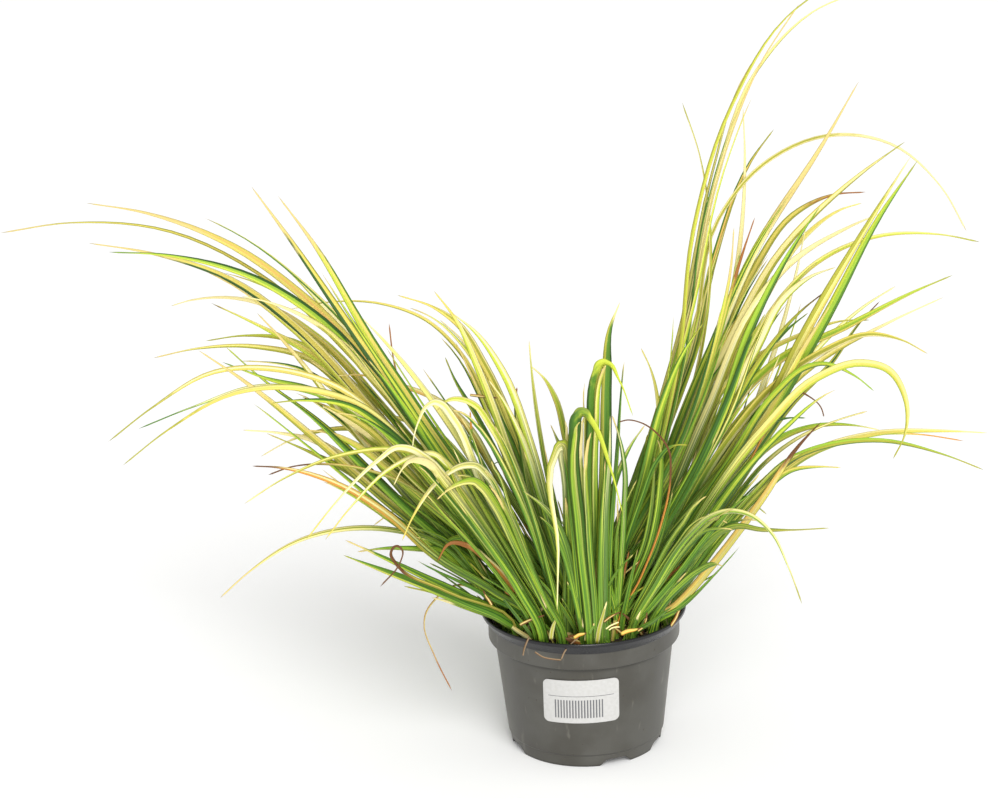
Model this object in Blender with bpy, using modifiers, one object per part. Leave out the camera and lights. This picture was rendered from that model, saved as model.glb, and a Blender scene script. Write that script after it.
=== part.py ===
"""A golden sweet flag in its nursery pot: fans of grassy leaves that grow from peat, in a grey plastic pot
with a folded rim, a foot ring and drainage channels.

Metres, +Z up. The origin is on the pot's axis, on the surface that the pot stands on. +X is to the right and
+Y is away from a person who looks at the label.

The leaves are placed by marks read off one front picture of the plant: a mark is a point of the picture, in
pixels, and each leaf is given how far back from the pot's axis its tip reaches.
"""

import math
import random
from collections import namedtuple

import bmesh
import bpy
from mathutils import Vector, noise
from mathutils.bvhtree import BVHTree
from mathutils.geometry import interpolate_bezier

MM = 0.001

# Pot: heights are above the ground, and radii are of the outside.
LIP_RADIUS = 52.5 * MM
LIP_TOP = 73.5 * MM
LIP_BAND = 1.6 * MM
LIP_BEVEL = 0.4 * MM
COLLAR_RADIUS = 49.0 * MM
COLLAR_TOP = 66.8 * MM
COLLAR_BOTTOM = 58.3 * MM
BODY_TOP_RADIUS = 45.8 * MM
BODY_TOP = 57.0 * MM
BODY_FOOT_RADIUS = 40.2 * MM
FOOT_LINE = 7.1 * MM
FOOT_STEP = 0.6 * MM
FOOT_RADIUS = 38.6 * MM
WALL = 1.3 * MM
INNER_RISE = 0.26 * MM
POT_STEPS = 30
MERGE_WITHIN = 0.05 * MM
SMOOTH_BELOW = math.radians(38)

# Drainage channels pressed up into the floor, open at the foot: three that show in front, one at the back.
# Their turns are in degrees from +X.
CHANNEL_TURNS = (-159, -69, -22, 84)
CHANNEL_HEIGHT = 3.6 * MM
CHANNEL_FOOT_WIDTH = 17.4 * MM
CHANNEL_TOP_WIDTH = 10.0 * MM
CHANNEL_START = 25.0 * MM
BELOW_GROUND = 1.0 * MM
DRAIN_PLACE = 32.0 * MM
DRAIN_RADIUS = 2.8 * MM

# Peat
PEAT_EDGE = 66.6 * MM
PEAT_CROWN = 2.0 * MM
PEAT_LUMP = 0.9 * MM
PEAT_LUMP_SPACING = 9.0 * MM
PEAT_RINGS = (0.0, 0.3, 0.65, 1.0)
GAP = 0.3 * MM

# Label on the front of the body
LABEL_WIDTH = 39.4 * MM
LABEL_HEIGHT = 24.6 * MM
LABEL_MIDDLE = 38.6 * MM
LABEL_CORNER = 3.0 * MM
LABEL_THICKNESS = 0.3 * MM
LABEL_OFF_CENTRE = 3.6 * MM
LABEL_SLANT = math.radians(1.2)
CORNER_STEPS = (0.0, 0.4, 0.75, 0.95, 1.0)

# Stem base of a shoot: pointed below the peat, with its leaves side by side in its top
STEM_DEPTH = 8.0 * MM
STEM_HEIGHT = 5.2 * MM
STEM_HALF_WIDTH = 2.4 * MM
STEM_EDGE = 0.5 * MM
STEM_TOP_SHARE = 0.9
POCKET_CLEARANCE = 0.45 * MM
POCKET_OVER = 4.0 * MM
ROOT_HEIGHT = 3.6 * MM
ROOT_SPACING = 1.4 * MM

# Leaf blade: its face is nearly square to the eye at its root, and turns off as far as the leaf bends.
BASE_WIDTH_SHARE = 0.62
WIDENING = 1.3
TAPER = 5.0
LEAF_THICKNESS = 0.95 * MM
TIP_THICKNESS = 0.4 * MM
LEAF_CLEARANCE = 0.45 * MM
OWN_CLEARANCE = 0.1 * MM
LEAST_SEGMENTS = 4
MOST_SEGMENTS = 8
BEND_A_SEGMENT = math.radians(30)
BEND_LENGTH = 90 * MM
NEEDLE_SHARE = 0.5
FACE_TURN = math.radians(80)
TURN_A_RADIAN = 0.22
LEAST_SEEN = 0.12
RUNS_AWAY = 0.6
MOST_TURNING_BEND = 1.8
TURNED_BY = 0.4
SWING_STEP = 2.5 * MM
MOST_SWINGS = 60
USUAL_LEAVES = 3

# Shorter leaves inside the clump: a share of the leaf beside them, and how far their tips stray from it
INNER_SHARE = (0.42, 0.66)
INNER_ASIDE = 8 * MM
INNER_AWAY = (4 * MM, 14 * MM)
INNER_LOWER = (2 * MM, 16 * MM)
INNER_WIDTH = (4.2 * MM, 5.8 * MM)

# Front picture that the marks are read from, in pixels, and the eye that saw it
PICTURE_CENTRE = (500.0, 399.5)
PICTURE_FOCAL = 3119.0
EYE = Vector((-39.2, -1475.4, 693.9)) * MM
EYE_PITCH = math.radians(19.01)
EYE_ROLL = math.radians(1.88)

UP = Vector((0, 0, 1))
AWAY = Vector((0, 1, 0))
RIGHT = Vector((1, 0, 0))

EYE_AHEAD = AWAY * math.cos(EYE_PITCH) - UP * math.sin(EYE_PITCH)
EYE_UNTURNED = AWAY * math.sin(EYE_PITCH) + UP * math.cos(EYE_PITCH)
EYE_UP = EYE_UNTURNED * math.cos(EYE_ROLL) + RIGHT * math.sin(EYE_ROLL)
EYE_RIGHT = RIGHT * math.cos(EYE_ROLL) - EYE_UNTURNED * math.sin(EYE_ROLL)

Leaf = namedtuple("Leaf", "width back marks")
Shoot = namedtuple("Shoot", "name foot leaves")


def leaf(width, back, *marks):
    """A leaf with its full width and its tip's distance behind the axis, in mm, and its marks, tip first."""
    return Leaf(width * MM, back * MM, marks)


LEFT_SHOOTS = [
    Shoot("left_shoot_01", (-20, -36), [
        leaf(4.4, -96, (306, 540), (330, 510), (353, 482), (377, 461), (400, 447), (430, 462)),
        leaf(4.0, -82, (244, 504), (281, 480), (322, 460), (357, 452), (385, 451), (420, 453), (450, 490)),
    ]),
    Shoot("left_shoot_02", (-32, -27), [
        leaf(5.6, -62, (343, 555), (390, 573), (430, 588), (470, 605)),
        leaf(4.2, -48, (345, 540), (385, 558), (425, 577), (470, 598)),
        leaf(2.6, -74, (380, 587), (398, 565), (403, 553), (397, 546), (391, 553), (397, 565),
             (410, 575), (440, 588)),
    ]),
    Shoot("left_shoot_03", (-21, -25), [
        leaf(4.4, -76, (325, 540), (342, 518), (363, 493), (386, 472), (408, 458), (435, 455), (465, 490)),
        leaf(4.6, -54, (252, 466), (282, 468), (340, 485), (368, 500), (392, 518), (440, 560)),
    ]),
    Shoot("left_shoot_04", (-38, -15), [
        leaf(4.6, -46, (220, 598), (250, 571), (285, 547), (321, 533), (357, 528), (394, 530),
             (425, 538), (445, 547)),
        leaf(3.2, -30, (268, 475), (295, 466), (322, 464), (353, 467), (394, 479), (440, 510)),
        leaf(4.2, -20, (436, 561), (445, 545), (454, 538), (480, 538), (502, 555)),
    ]),
    Shoot("left_shoot_05", (-27, -14), [
        leaf(5.4, -58, (122, 466), (175, 425), (223, 397), (271, 387), (319, 391), (355, 403), (420, 460)),
        leaf(5.0, -40, (108, 442), (160, 402), (207, 374), (255, 368), (303, 374), (345, 391), (400, 440)),
    ]),
    Shoot("left_shoot_06", (-15, -15), [
        leaf(6.0, -26, (251, 186), (280, 225), (302, 257), (326, 293), (350, 328), (378, 365),
             (405, 405), (462, 490)),
        leaf(6.0, -10, (278, 196), (304, 230), (328, 265), (347, 297), (364, 328), (386, 365),
             (410, 402), (468, 480)),
        leaf(4.6, 6, (360, 316), (380, 336), (400, 360), (420, 385), (445, 418), (490, 490)),
    ]),
    Shoot("left_shoot_07", (-40, -3), [
        leaf(4.4, -18, (242, 430), (287, 434), (320, 443), (400, 500)),
        leaf(4.2, -6, (266, 433), (303, 449), (330, 460), (410, 520)),
        leaf(2.6, -24, (452, 691), (441, 669), (430, 645), (424, 620), (430, 607), (440, 595), (462, 585)),
    ]),
    Shoot("left_shoot_08", (-29, -3), [
        leaf(5.2, -22, (198, 350), (240, 378), (280, 410), (319, 442), (350, 466), (420, 530)),
        leaf(4.8, -36, (280, 393), (319, 423), (351, 455), (430, 530)),
    ]),
    Shoot("left_shoot_09", (-18, -3), [
        leaf(4.8, 4, (138, 429), (195, 406), (236, 391), (278, 386), (350, 408), (430, 490)),
        leaf(5.2, -14, (302, 397), (335, 410), (372, 432), (440, 510)),
    ]),
    Shoot("left_shoot_10", (-39, 8), [
        leaf(6.2, 24, (222, 362), (262, 377), (330, 400), (420, 500)),
        leaf(3.0, 38, (226, 347), (255, 373), (330, 430), (420, 520)),
        leaf(4.6, 10, (257, 313), (271, 327), (297, 357), (326, 394), (362, 440), (410, 500)),
    ]),
    Shoot("left_shoot_11", (-28, 8), [
        leaf(5.0, 30, (211, 303), (255, 324), (293, 340), (320, 362), (400, 440)),
        leaf(4.6, 46, (153, 358), (207, 347), (252, 346), (287, 354), (320, 365), (400, 450)),
        leaf(2.6, 14, (389, 323), (391, 342), (396, 372), (404, 400), (425, 450)),
    ]),
    Shoot("left_shoot_12", (-17, 8), [
        leaf(5.6, 16, (108, 252), (175, 256), (223, 266), (271, 286), (320, 318), (400, 410)),
        leaf(5.4, 34, (88, 243), (140, 251), (200, 265), (256, 295), (300, 330), (380, 420)),
    ]),
    Shoot("left_shoot_13", (-32, 20), [
        leaf(4.6, 66, (205, 341), (239, 336), (275, 336), (320, 355), (400, 440)),
        leaf(4.2, 84, (171, 306), (191, 300), (239, 299), (280, 312), (350, 370)),
    ]),
    Shoot("left_shoot_14", (-20, 20), [
        leaf(5.8, 52, (86, 203), (159, 216), (223, 241), (271, 270), (313, 305), (400, 400)),
        leaf(3.2, 70, (0, 233), (95, 221), (160, 229), (207, 245), (271, 282), (300, 305), (390, 400)),
    ]),
]

MIDDLE_SHOOTS = [
    Shoot("middle_shoot_01", (-10, -37), [
        leaf(5.0, -66, (402, 541), (411, 520), (431, 490), (456, 468), (480, 468), (505, 510), (535, 580)),
        leaf(4.8, -52, (411, 455), (415, 433), (423, 411), (435, 402), (449, 412), (462, 440),
             (495, 510), (540, 590)),
        leaf(4.2, -38, (436, 412), (446, 401), (460, 399), (476, 406), (492, 428), (512, 465), (545, 560)),
    ]),
    Shoot("middle_shoot_02", (0, -41), [
        leaf(5.6, -58, (623, 515), (610, 467), (593, 430), (583, 412), (575, 428), (577, 480), (582, 560)),
        leaf(5.4, -46, (523, 491), (545, 508), (560, 530), (576, 590)),
    ]),
    Shoot("middle_shoot_03", (-8, -25), [
        leaf(5.0, -66, (557, 612), (558, 559), (557, 500), (556, 452), (562, 446), (566, 475),
             (570, 540), (571, 600)),
    ]),
    Shoot("middle_shoot_04", (4, -28), [
        leaf(5.2, -48, (633, 416), (620, 382), (608, 363), (599, 365), (593, 401), (591, 470), (592, 560)),
    ]),
    Shoot("middle_shoot_05", (9, -39), [
        leaf(5.6, -26, (620, 302), (609, 333), (607, 372), (607, 430), (604, 500), (603, 600)),
    ]),
    Shoot("middle_shoot_06", (-5, -14), [
        leaf(5.2, -30, (452, 313), (468, 325), (488, 346), (503, 372), (516, 402), (532, 450), (550, 520)),
        leaf(5.0, -14, (434, 291), (450, 311), (462, 330), (474, 356), (486, 392), (512, 460), (542, 540)),
    ]),
    Shoot("middle_shoot_07", (-7, -3), [
        leaf(5.0, 4, (397, 295), (425, 304), (447, 314), (465, 333), (482, 360), (498, 395), (518, 440)),
        leaf(4.6, -6, (517, 387), (516, 401), (521, 440), (529, 486), (548, 560)),
    ]),
    Shoot("middle_shoot_08", (-6, 8), [
        leaf(4.6, 8, (531, 366), (547, 382), (559, 408), (566, 440), (575, 480)),
        leaf(3.2, 22, (529, 340), (533, 384), (539, 430), (547, 470)),
    ]),
    Shoot("middle_shoot_09", (-8, 20), [
        leaf(3.6, 40, (291, 309), (320, 303), (350, 301), (376, 303), (400, 308), (428, 321),
             (452, 342), (470, 368),
             (500, 430)),
        leaf(3.8, 56, (440, 320), (470, 350), (500, 410)),
        leaf(3.6, 30, (445, 357), (455, 380), (470, 404), (500, 460)),
        leaf(4.4, 20, (335, 376), (362, 375), (386, 381), (408, 388), (432, 397), (452, 410),
             (474, 434), (505, 490)),
    ]),
    Shoot("middle_shoot_10", (16, -30), [
        leaf(3.0, -60, (619, 422), (629, 420), (646, 425), (663, 440), (671, 459), (667, 492), (655, 545)),
        leaf(4.0, -34, (645, 425), (630, 447), (615, 483), (606, 530)),
        leaf(3.6, -44, (612, 415), (620, 440), (625, 474), (622, 550)),
    ]),
    Shoot("middle_shoot_11", (7, -15), [
        leaf(5.4, -18, (704, 322), (684, 352), (667, 390), (654, 432), (640, 490), (618, 565)),
        leaf(3.2, -32, (688, 445), (670, 447), (655, 465), (645, 490), (625, 550)),
    ]),
]

RIGHT_SHOOTS = [
    Shoot("right_shoot_01", (21, -36), [
        leaf(4.4, -88, (802, 604), (790, 571), (773, 535), (752, 516), (730, 511), (705, 520), (680, 550)),
        leaf(4.0, -60, (752, 493), (730, 510), (700, 545), (665, 592)),
    ]),
    Shoot("right_shoot_02", (31, -26), [
        leaf(5.0, -72, (830, 528), (790, 530), (770, 531), (738, 526), (714, 536), (685, 570)),
        leaf(4.8, -46, (821, 422), (801, 443), (785, 465), (768, 491), (744, 523), (709, 569), (683, 600)),
    ]),
    Shoot("right_shoot_03", (40, -14), [
        leaf(4.4, -54, (984, 470), (945, 455), (906, 444), (866, 440), (825, 446), (790, 460), (740, 510)),
        leaf(5.2, -38, (988, 433), (958, 431), (918, 432), (880, 433), (850, 439), (820, 450), (787, 466)),
    ]),
    Shoot("right_shoot_04", (29, -14), [
        leaf(5.2, -60, (893, 459), (903, 440), (908, 416), (902, 389), (887, 369), (863, 363),
             (840, 368), (815, 379),
             (780, 408)),
        leaf(4.6, -30, (874, 391), (855, 376), (835, 367), (815, 364), (795, 376), (770, 400)),
        leaf(2.6, -44, (824, 417), (820, 406), (808, 396), (794, 393), (776, 415), (740, 480)),
    ]),
    Shoot("right_shoot_05", (19, -18), [
        leaf(6.4, -44, (820, 206), (800, 235), (782, 267), (764, 297), (750, 330), (735, 370), (720, 420)),
    ]),
    Shoot("right_shoot_06", (40, -2), [
        leaf(5.0, -14, (880, 430), (850, 425), (815, 426), (779, 439), (755, 460)),
        leaf(3.4, -2, (964, 441), (931, 436), (900, 433), (860, 436), (810, 452), (760, 490)),
        leaf(3.8, 10, (806, 418), (783, 419), (755, 432), (720, 475)),
        leaf(2.8, -26, (868, 411), (838, 420), (805, 434), (770, 458), (730, 505)),
    ]),
    Shoot("right_shoot_07", (29, -3), [
        leaf(5.0, -22, (928, 354), (904, 341), (880, 334), (855, 337), (825, 350), (800, 364),
             (772, 388), (725, 445)),
        leaf(5.2, -4, (944, 297), (916, 310), (884, 325), (850, 344), (815, 364), (780, 396), (740, 445)),
    ]),
    Shoot("right_shoot_08", (18, -5), [
        leaf(6.4, -26, (911, 156), (887, 193), (861, 236), (832, 283), (804, 335), (782, 378), (756, 430)),
        leaf(6.0, -12, (918, 160), (901, 184), (880, 216), (862, 250), (838, 294), (812, 345), (782, 398)),
    ]),
    Shoot("right_shoot_09", (7, -2), [
        leaf(4.2, 4, (755, 217), (747, 238), (736, 280), (715, 350), (670, 480)),
        leaf(4.6, 16, (830, 288), (800, 312), (779, 334), (762, 358), (742, 388), (712, 445)),
        leaf(4.0, -10, (734, 227), (732, 260), (720, 320), (690, 420)),
    ]),
    Shoot("right_shoot_10", (39, 9), [
        leaf(5.4, 14, (953, 275), (919, 289), (885, 308), (860, 322), (830, 332), (798, 347),
             (765, 372), (725, 418)),
        leaf(4.6, 28, (870, 320), (835, 322), (805, 333), (775, 346), (748, 364), (718, 398)),
    ]),
    Shoot("right_shoot_11", (28, 8), [
        leaf(5.0, 36, (980, 242), (945, 235), (906, 233), (870, 238), (840, 250), (808, 269), (780, 300)),
        leaf(5.6, 20, (887, 211), (853, 225), (807, 251), (780, 273), (752, 310)),
    ]),
    Shoot("right_shoot_12", (17, 7), [
        leaf(4.0, 12, (826, -14), (806, 0), (770, 35), (747, 74), (725, 121), (710, 163), (700, 201),
             (689, 255),
             (686, 298), (680, 350), (675, 400)),
        leaf(3.6, 28, (799, 4), (780, 35), (758, 68), (740, 115), (721, 165), (707, 215), (697, 265),
             (685, 340)),
    ]),
    Shoot("right_shoot_13", (5, 9), [
        leaf(3.4, 10, (641, 348), (651, 370), (658, 400), (655, 450), (630, 540)),
    ]),
    Shoot("right_shoot_14", (33, 20), [
        leaf(3.8, 54, (896, 286), (870, 302), (846, 322), (805, 362), (755, 425)),
        leaf(4.6, 70, (880, 301), (862, 320), (845, 346), (820, 376), (795, 400), (755, 455)),
        leaf(4.2, 86, (806, 226), (799, 262), (782, 319), (763, 388), (740, 440)),
    ]),
    Shoot("right_shoot_15", (22, 19), [
        leaf(5.8, 40, (859, 81), (836, 121), (811, 164), (779, 214), (750, 260), (715, 340)),
        leaf(5.8, 58, (906, 141), (869, 167), (835, 196), (807, 221), (775, 260), (730, 340)),
    ]),
    Shoot("right_shoot_16", (9, 20), [
        leaf(4.6, 44, (866, -11), (838, 0), (811, 13), (788, 31), (770, 52), (756, 72), (741, 111),
             (723, 158),
             (710, 204), (700, 255), (690, 300), (676, 370)),
        leaf(3.4, 60, (682, 102), (696, 143), (706, 180), (710, 220), (708, 298), (690, 400)),
    ]),
    Shoot("right_shoot_17", (27, 31), [
        leaf(4.8, 82, (866, 192), (828, 196), (801, 209), (782, 226), (755, 268), (720, 350)),
        leaf(4.4, 98, (862, 203), (840, 210), (813, 228), (785, 262), (745, 340)),
    ]),
    Shoot("right_shoot_18", (15, 31), [
        leaf(4.4, 76, (967, 232), (955, 209), (935, 179), (909, 154), (880, 140), (845, 134),
             (805, 141), (776, 155),
             (745, 181), (722, 211), (710, 250), (700, 298), (688, 360)),
        leaf(4.6, 92, (774, 129), (755, 154), (740, 184), (725, 223), (712, 268), (700, 330)),
    ]),
    Shoot("right_shoot_19", (3, 31), [
        leaf(4.2, 66, (743, 108), (745, 149), (743, 204), (737, 267), (725, 330), (690, 430)),
    ]),
]

# Shoots at the back: foot in mm, compass turn of the fan from +X in degrees, reach and rise in mm.
BackShoot = namedtuple("BackShoot", "name foot turn reach rise")
BACK_SHOOTS = [
    BackShoot("back_shoot_01", (-27, 32), 146, 150, 92),
    BackShoot("back_shoot_02", (-15, 32), 124, 115, 48),
    BackShoot("back_shoot_03", (-9, 43), 106, 95, 20),
    BackShoot("back_shoot_04", (4, 43), 82, 85, 18),
    BackShoot("back_shoot_05", (16, 42), 54, 125, 62),
]
BACK_LEAVES = 3
BACK_SPREAD = 20
BACK_LEAF_WIDTH = 4.8 * MM
BACK_DROOP = 34 * MM


def clear_scene():
    for obj in list(bpy.data.objects):
        bpy.data.objects.remove(obj, do_unlink=True)


def new_collection(name):
    made = bpy.data.collections.new(name)
    bpy.context.scene.collection.children.link(made)
    return made


def material(name, colour, roughness):
    made = bpy.data.materials.new(name)
    made.use_nodes = True
    shader = made.node_tree.nodes["Principled BSDF"]
    shader.inputs["Base Color"].default_value = (*colour, 1)
    shader.inputs["Roughness"].default_value = roughness
    shader.inputs["Metallic"].default_value = 0.0
    return made


def place(mesh, name, collection, surface, location=(0, 0, 0)):
    """A new object, shaded smooth where its faces meet at less than the smoothing angle."""
    obj = bpy.data.objects.new(name, mesh)
    obj.location = location
    mesh.shade_smooth()
    mesh.set_sharp_from_angle(angle=SMOOTH_BELOW)
    mesh.materials.append(surface)
    collection.objects.link(obj)
    return obj


def as_cutter(obj):
    obj.hide_render = True
    obj.display_type = "WIRE"
    return obj


def add_boolean(obj, other, operation, solver="EXACT"):
    step = obj.modifiers.new(f"{operation.lower()}_{other.name}", "BOOLEAN")
    step.operation = operation
    step.solver = solver
    step.object = other


def mesh_from(build, name):
    """A mesh made by build(bm) on an empty bmesh, its faces turned outwards."""
    bm = bmesh.new()
    build(bm)
    bmesh.ops.recalc_face_normals(bm, faces=bm.faces)
    mesh = bpy.data.meshes.new(name)
    bm.to_mesh(mesh)
    bm.free()
    return mesh


def turned(name, profile, collection, surface):
    """A solid turned about the Z axis from a profile that runs down its outer side."""
    mesh = bpy.data.meshes.new(name)
    ends = [(i, i + 1) for i in range(len(profile) - 1)]
    mesh.from_pydata([(radius, 0, height) for radius, height in profile], ends, [])
    obj = place(mesh, name, collection, surface)
    screw = obj.modifiers.new("turn", "SCREW")
    screw.steps = POT_STEPS
    screw.render_steps = POT_STEPS
    screw.use_merge_vertices = True
    screw.merge_threshold = MERGE_WITHIN
    return obj


def body_radius(height):
    """The outer radius of the pot's tapered body."""
    share = (height - FOOT_LINE) / (BODY_TOP - FOOT_LINE)
    return BODY_FOOT_RADIUS + share * (BODY_TOP_RADIUS - BODY_FOOT_RADIUS)


def pot_profile():
    """The pot's section: up the inside from the middle of the floor, over the lip and down the outside."""
    inside = [
        (0, WALL),
        (FOOT_RADIUS - WALL, WALL),
        (BODY_TOP_RADIUS - WALL, BODY_TOP + INNER_RISE),
        (COLLAR_RADIUS - WALL, COLLAR_BOTTOM + INNER_RISE),
        (COLLAR_RADIUS - WALL, COLLAR_TOP),
        (LIP_RADIUS - WALL, LIP_TOP - LIP_BAND),
        (LIP_RADIUS - WALL, LIP_TOP),
    ]
    outside = [
        (LIP_RADIUS - LIP_BEVEL, LIP_TOP),
        (LIP_RADIUS, LIP_TOP - LIP_BEVEL),
        (LIP_RADIUS, LIP_TOP - LIP_BAND),
        (COLLAR_RADIUS, COLLAR_TOP),
        (COLLAR_RADIUS, COLLAR_BOTTOM),
        (BODY_TOP_RADIUS, BODY_TOP),
        (BODY_FOOT_RADIUS, FOOT_LINE),
        (BODY_FOOT_RADIUS - FOOT_STEP, FOOT_LINE - FOOT_STEP),
        (FOOT_RADIUS, 0),
        (0, 0),
    ]
    return inside + outside


def channel_prism(bm, grow, start, end, bottom):
    """A trapezoid bar along +X: narrow at the top, grown on its sides and its top."""
    bmesh.ops.create_cube(bm, size=1.0)
    top = CHANNEL_HEIGHT + grow
    slope = (CHANNEL_FOOT_WIDTH - CHANNEL_TOP_WIDTH) / CHANNEL_HEIGHT
    for vert in bm.verts:
        height = top if vert.co.z > 0 else bottom
        width = CHANNEL_FOOT_WIDTH - slope * height + 2 * grow
        vert.co = (end if vert.co.x > 0 else start, width / 2 * (1 if vert.co.y > 0 else -1), height)


def channel_piece(name, grow, start, end, index, collection, surface, bottom=-BELOW_GROUND):
    mesh = mesh_from(lambda bm: channel_prism(bm, grow, start, end, bottom), name)
    obj = place(mesh, name, collection, surface)
    obj.rotation_euler.z = math.radians(CHANNEL_TURNS[index])
    return as_cutter(obj)


def channel_hump(index, collection, surface):
    """The raised floor over one channel, which starts inside the floor and ends inside the wall."""
    end = FOOT_RADIUS - 0.5 * WALL
    name = f"channel_hump_{index}"
    return channel_piece(name, WALL, CHANNEL_START - WALL, end, index, collection, surface, 0.5 * WALL)


def drain_hole(index, collection, surface):
    def build(bm):
        bmesh.ops.create_cone(
            bm, cap_ends=True, segments=10, radius1=DRAIN_RADIUS, radius2=DRAIN_RADIUS, depth=6 * WALL
        )
    turn = math.radians(CHANNEL_TURNS[index])
    where = Vector((DRAIN_PLACE * math.cos(turn), DRAIN_PLACE * math.sin(turn), CHANNEL_HEIGHT))
    return as_cutter(place(mesh_from(build, "drain"), f"drain_hole_{index}", collection, surface, where))


def make_pot(collection, cutters, surface):
    pot = turned("pot", pot_profile(), collection, surface)
    for index in range(len(CHANNEL_TURNS)):
        add_boolean(pot, channel_hump(index, cutters, surface), "UNION")
    for index in range(len(CHANNEL_TURNS)):
        name = f"channel_{index}"
        channel = channel_piece(name, 0, CHANNEL_START, BODY_TOP_RADIUS, index, cutters, surface)
        add_boolean(pot, channel, "DIFFERENCE")
        add_boolean(pot, drain_hole(index, cutters, surface), "DIFFERENCE")
    return pot


def peat_height(x, y):
    """The peat's surface: a low dome with lumps that die out at the pot's wall."""
    share = min(1.0, math.hypot(x, y) / (COLLAR_RADIUS - WALL))
    lump = noise.noise(Vector((x, y, 0)) / PEAT_LUMP_SPACING) * PEAT_LUMP * (1 - share ** 4)
    return PEAT_EDGE + PEAT_CROWN * (1 - share * share) + lump


def peat_profile():
    """From the middle of the surface to the wall, then down the inside of the pot and in along its floor."""
    collar = COLLAR_RADIUS - WALL - GAP
    surface = [(share * collar, PEAT_EDGE) for share in PEAT_RINGS]
    side = [
        (collar, COLLAR_BOTTOM + INNER_RISE + GAP),
        (BODY_TOP_RADIUS - WALL - 1.2 * GAP, BODY_TOP + INNER_RISE + GAP),
        (FOOT_RADIUS - WALL - 1.6 * GAP, WALL + GAP),
        (0, WALL + GAP),
    ]
    return surface + side


def make_peat(collection, cutters, surface):
    """The peat, with its lumps, the pot's channel humps pressed into it and a pocket for each stem base."""
    guide = turned("peat_turned", peat_profile(), cutters, surface)
    bpy.context.view_layer.update()
    mesh = bpy.data.meshes.new_from_object(guide.evaluated_get(bpy.context.evaluated_depsgraph_get()))
    bpy.data.objects.remove(guide)
    inner = COLLAR_RADIUS - WALL - 2 * GAP
    for vert in mesh.vertices:
        if vert.co.z > PEAT_EDGE - GAP and math.hypot(vert.co.x, vert.co.y) < inner:
            vert.co.z = peat_height(vert.co.x, vert.co.y)
    peat = place(mesh, "soil", collection, surface)
    for index in range(len(CHANNEL_TURNS)):
        grow = WALL + 1.2 * GAP
        name = f"soil_channel_{index}"
        hump = channel_piece(name, grow, CHANNEL_START - grow, BODY_TOP_RADIUS, index, cutters, surface)
        add_boolean(peat, hump, "DIFFERENCE")
    return peat


def make_label(collection, surface):
    """A thin sticker with round corners that follows the pot's tapered side."""
    half_width = LABEL_WIDTH / 2
    corner = [half_width - LABEL_CORNER * (1 - share) for share in CORNER_STEPS]
    right = [0.0, corner[0] / 3, corner[0] * 2 / 3, *corner]
    columns = [-x for x in reversed(right[1:])] + right

    def half_height(x):
        into = max(0.0, abs(x) - corner[0]) / LABEL_CORNER
        return LABEL_HEIGHT / 2 - LABEL_CORNER * (1 - math.sqrt(max(0.0, 1 - into * into)))

    def ring(bm, x):
        points = []
        for rise, lift in ((1, GAP), (1, GAP + LABEL_THICKNESS), (-1, GAP + LABEL_THICKNESS), (-1, GAP)):
            height = LABEL_MIDDLE + rise * half_height(x) + x * math.tan(LABEL_SLANT)
            radius = body_radius(height) + lift
            angle = -math.pi / 2 + (x - LABEL_OFF_CENTRE) / radius
            points.append(bm.verts.new((radius * math.cos(angle), radius * math.sin(angle), height)))
        return points

    def build(bm):
        rings = [ring(bm, x) for x in columns]
        for near, far in zip(rings, rings[1:]):
            for i in range(4):
                bm.faces.new((near[i], near[(i + 1) % 4], far[(i + 1) % 4], far[i]))
        bm.faces.new(rings[0])
        bm.faces.new(reversed(rings[-1]))

    return place(mesh_from(build, "label"), "label", collection, surface)


def in_picture(point):
    """Where the eye sees a point, in the picture's pixels."""
    ray = point - EYE
    depth = ray.dot(EYE_AHEAD)
    right = PICTURE_CENTRE[0] + PICTURE_FOCAL * ray.dot(EYE_RIGHT) / depth
    down = PICTURE_CENTRE[1] - PICTURE_FOCAL * ray.dot(EYE_UP) / depth
    return Vector((right, down))


def on_sight_line(mark, back):
    """The point that the eye sees at a mark, at a distance behind the pot's axis."""
    across = (mark[0] - PICTURE_CENTRE[0]) / PICTURE_FOCAL
    above = (PICTURE_CENTRE[1] - mark[1]) / PICTURE_FOCAL
    ray = EYE_AHEAD + EYE_RIGHT * across + EYE_UP * above
    return EYE + ray * (back - EYE.y) / ray.y


def smooth_route(points):
    """A fine, smooth line through the points, which leaves the first one more upright than its chord."""
    tangents = [(points[1] - points[0]).normalized() + 0.35 * UP]
    tangents += [after - before for before, after in zip(points, points[2:])]
    tangents.append(points[-1] - points[-2])
    tangents = [tangent.normalized() for tangent in tangents]
    line = [points[0]]
    for i in range(len(points) - 1):
        handle = (points[i + 1] - points[i]).length / 3
        start = points[i] + tangents[i] * handle
        end = points[i + 1] - tangents[i + 1] * handle
        line += interpolate_bezier(points[i], start, end, points[i + 1], 10)[1:]
    return line


def even_steps(line, count, bend_length=0.0):
    """Points at even distances along the line, a bend of one radian counting as much as bend_length.

    The last distance is the shorter where count isn't whole.
    """
    lengths = [0.0]
    for i in range(len(line) - 1):
        run = line[i + 1] - line[i]
        turn = run.angle(line[i + 2] - line[i + 1]) if i < len(line) - 2 else 0.0
        lengths.append(lengths[-1] + run.length + turn * bend_length)
    stations = []
    i = 0
    for step in range(math.ceil(count) + 1):
        wanted = lengths[-1] * min(1.0, step / count)
        while i < len(line) - 2 and lengths[i + 1] < wanted:
            i += 1
        share = (wanted - lengths[i]) / (lengths[i + 1] - lengths[i])
        stations.append(line[i].lerp(line[i + 1], min(1.0, share)))
    return stations


def bend_of(line):
    """How far the line turns in all, in radians."""
    points = even_steps(line, 12)
    runs = [b - a for a, b in zip(points, points[1:])]
    return sum(before.angle(after) for before, after in zip(runs, runs[1:]))


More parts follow.
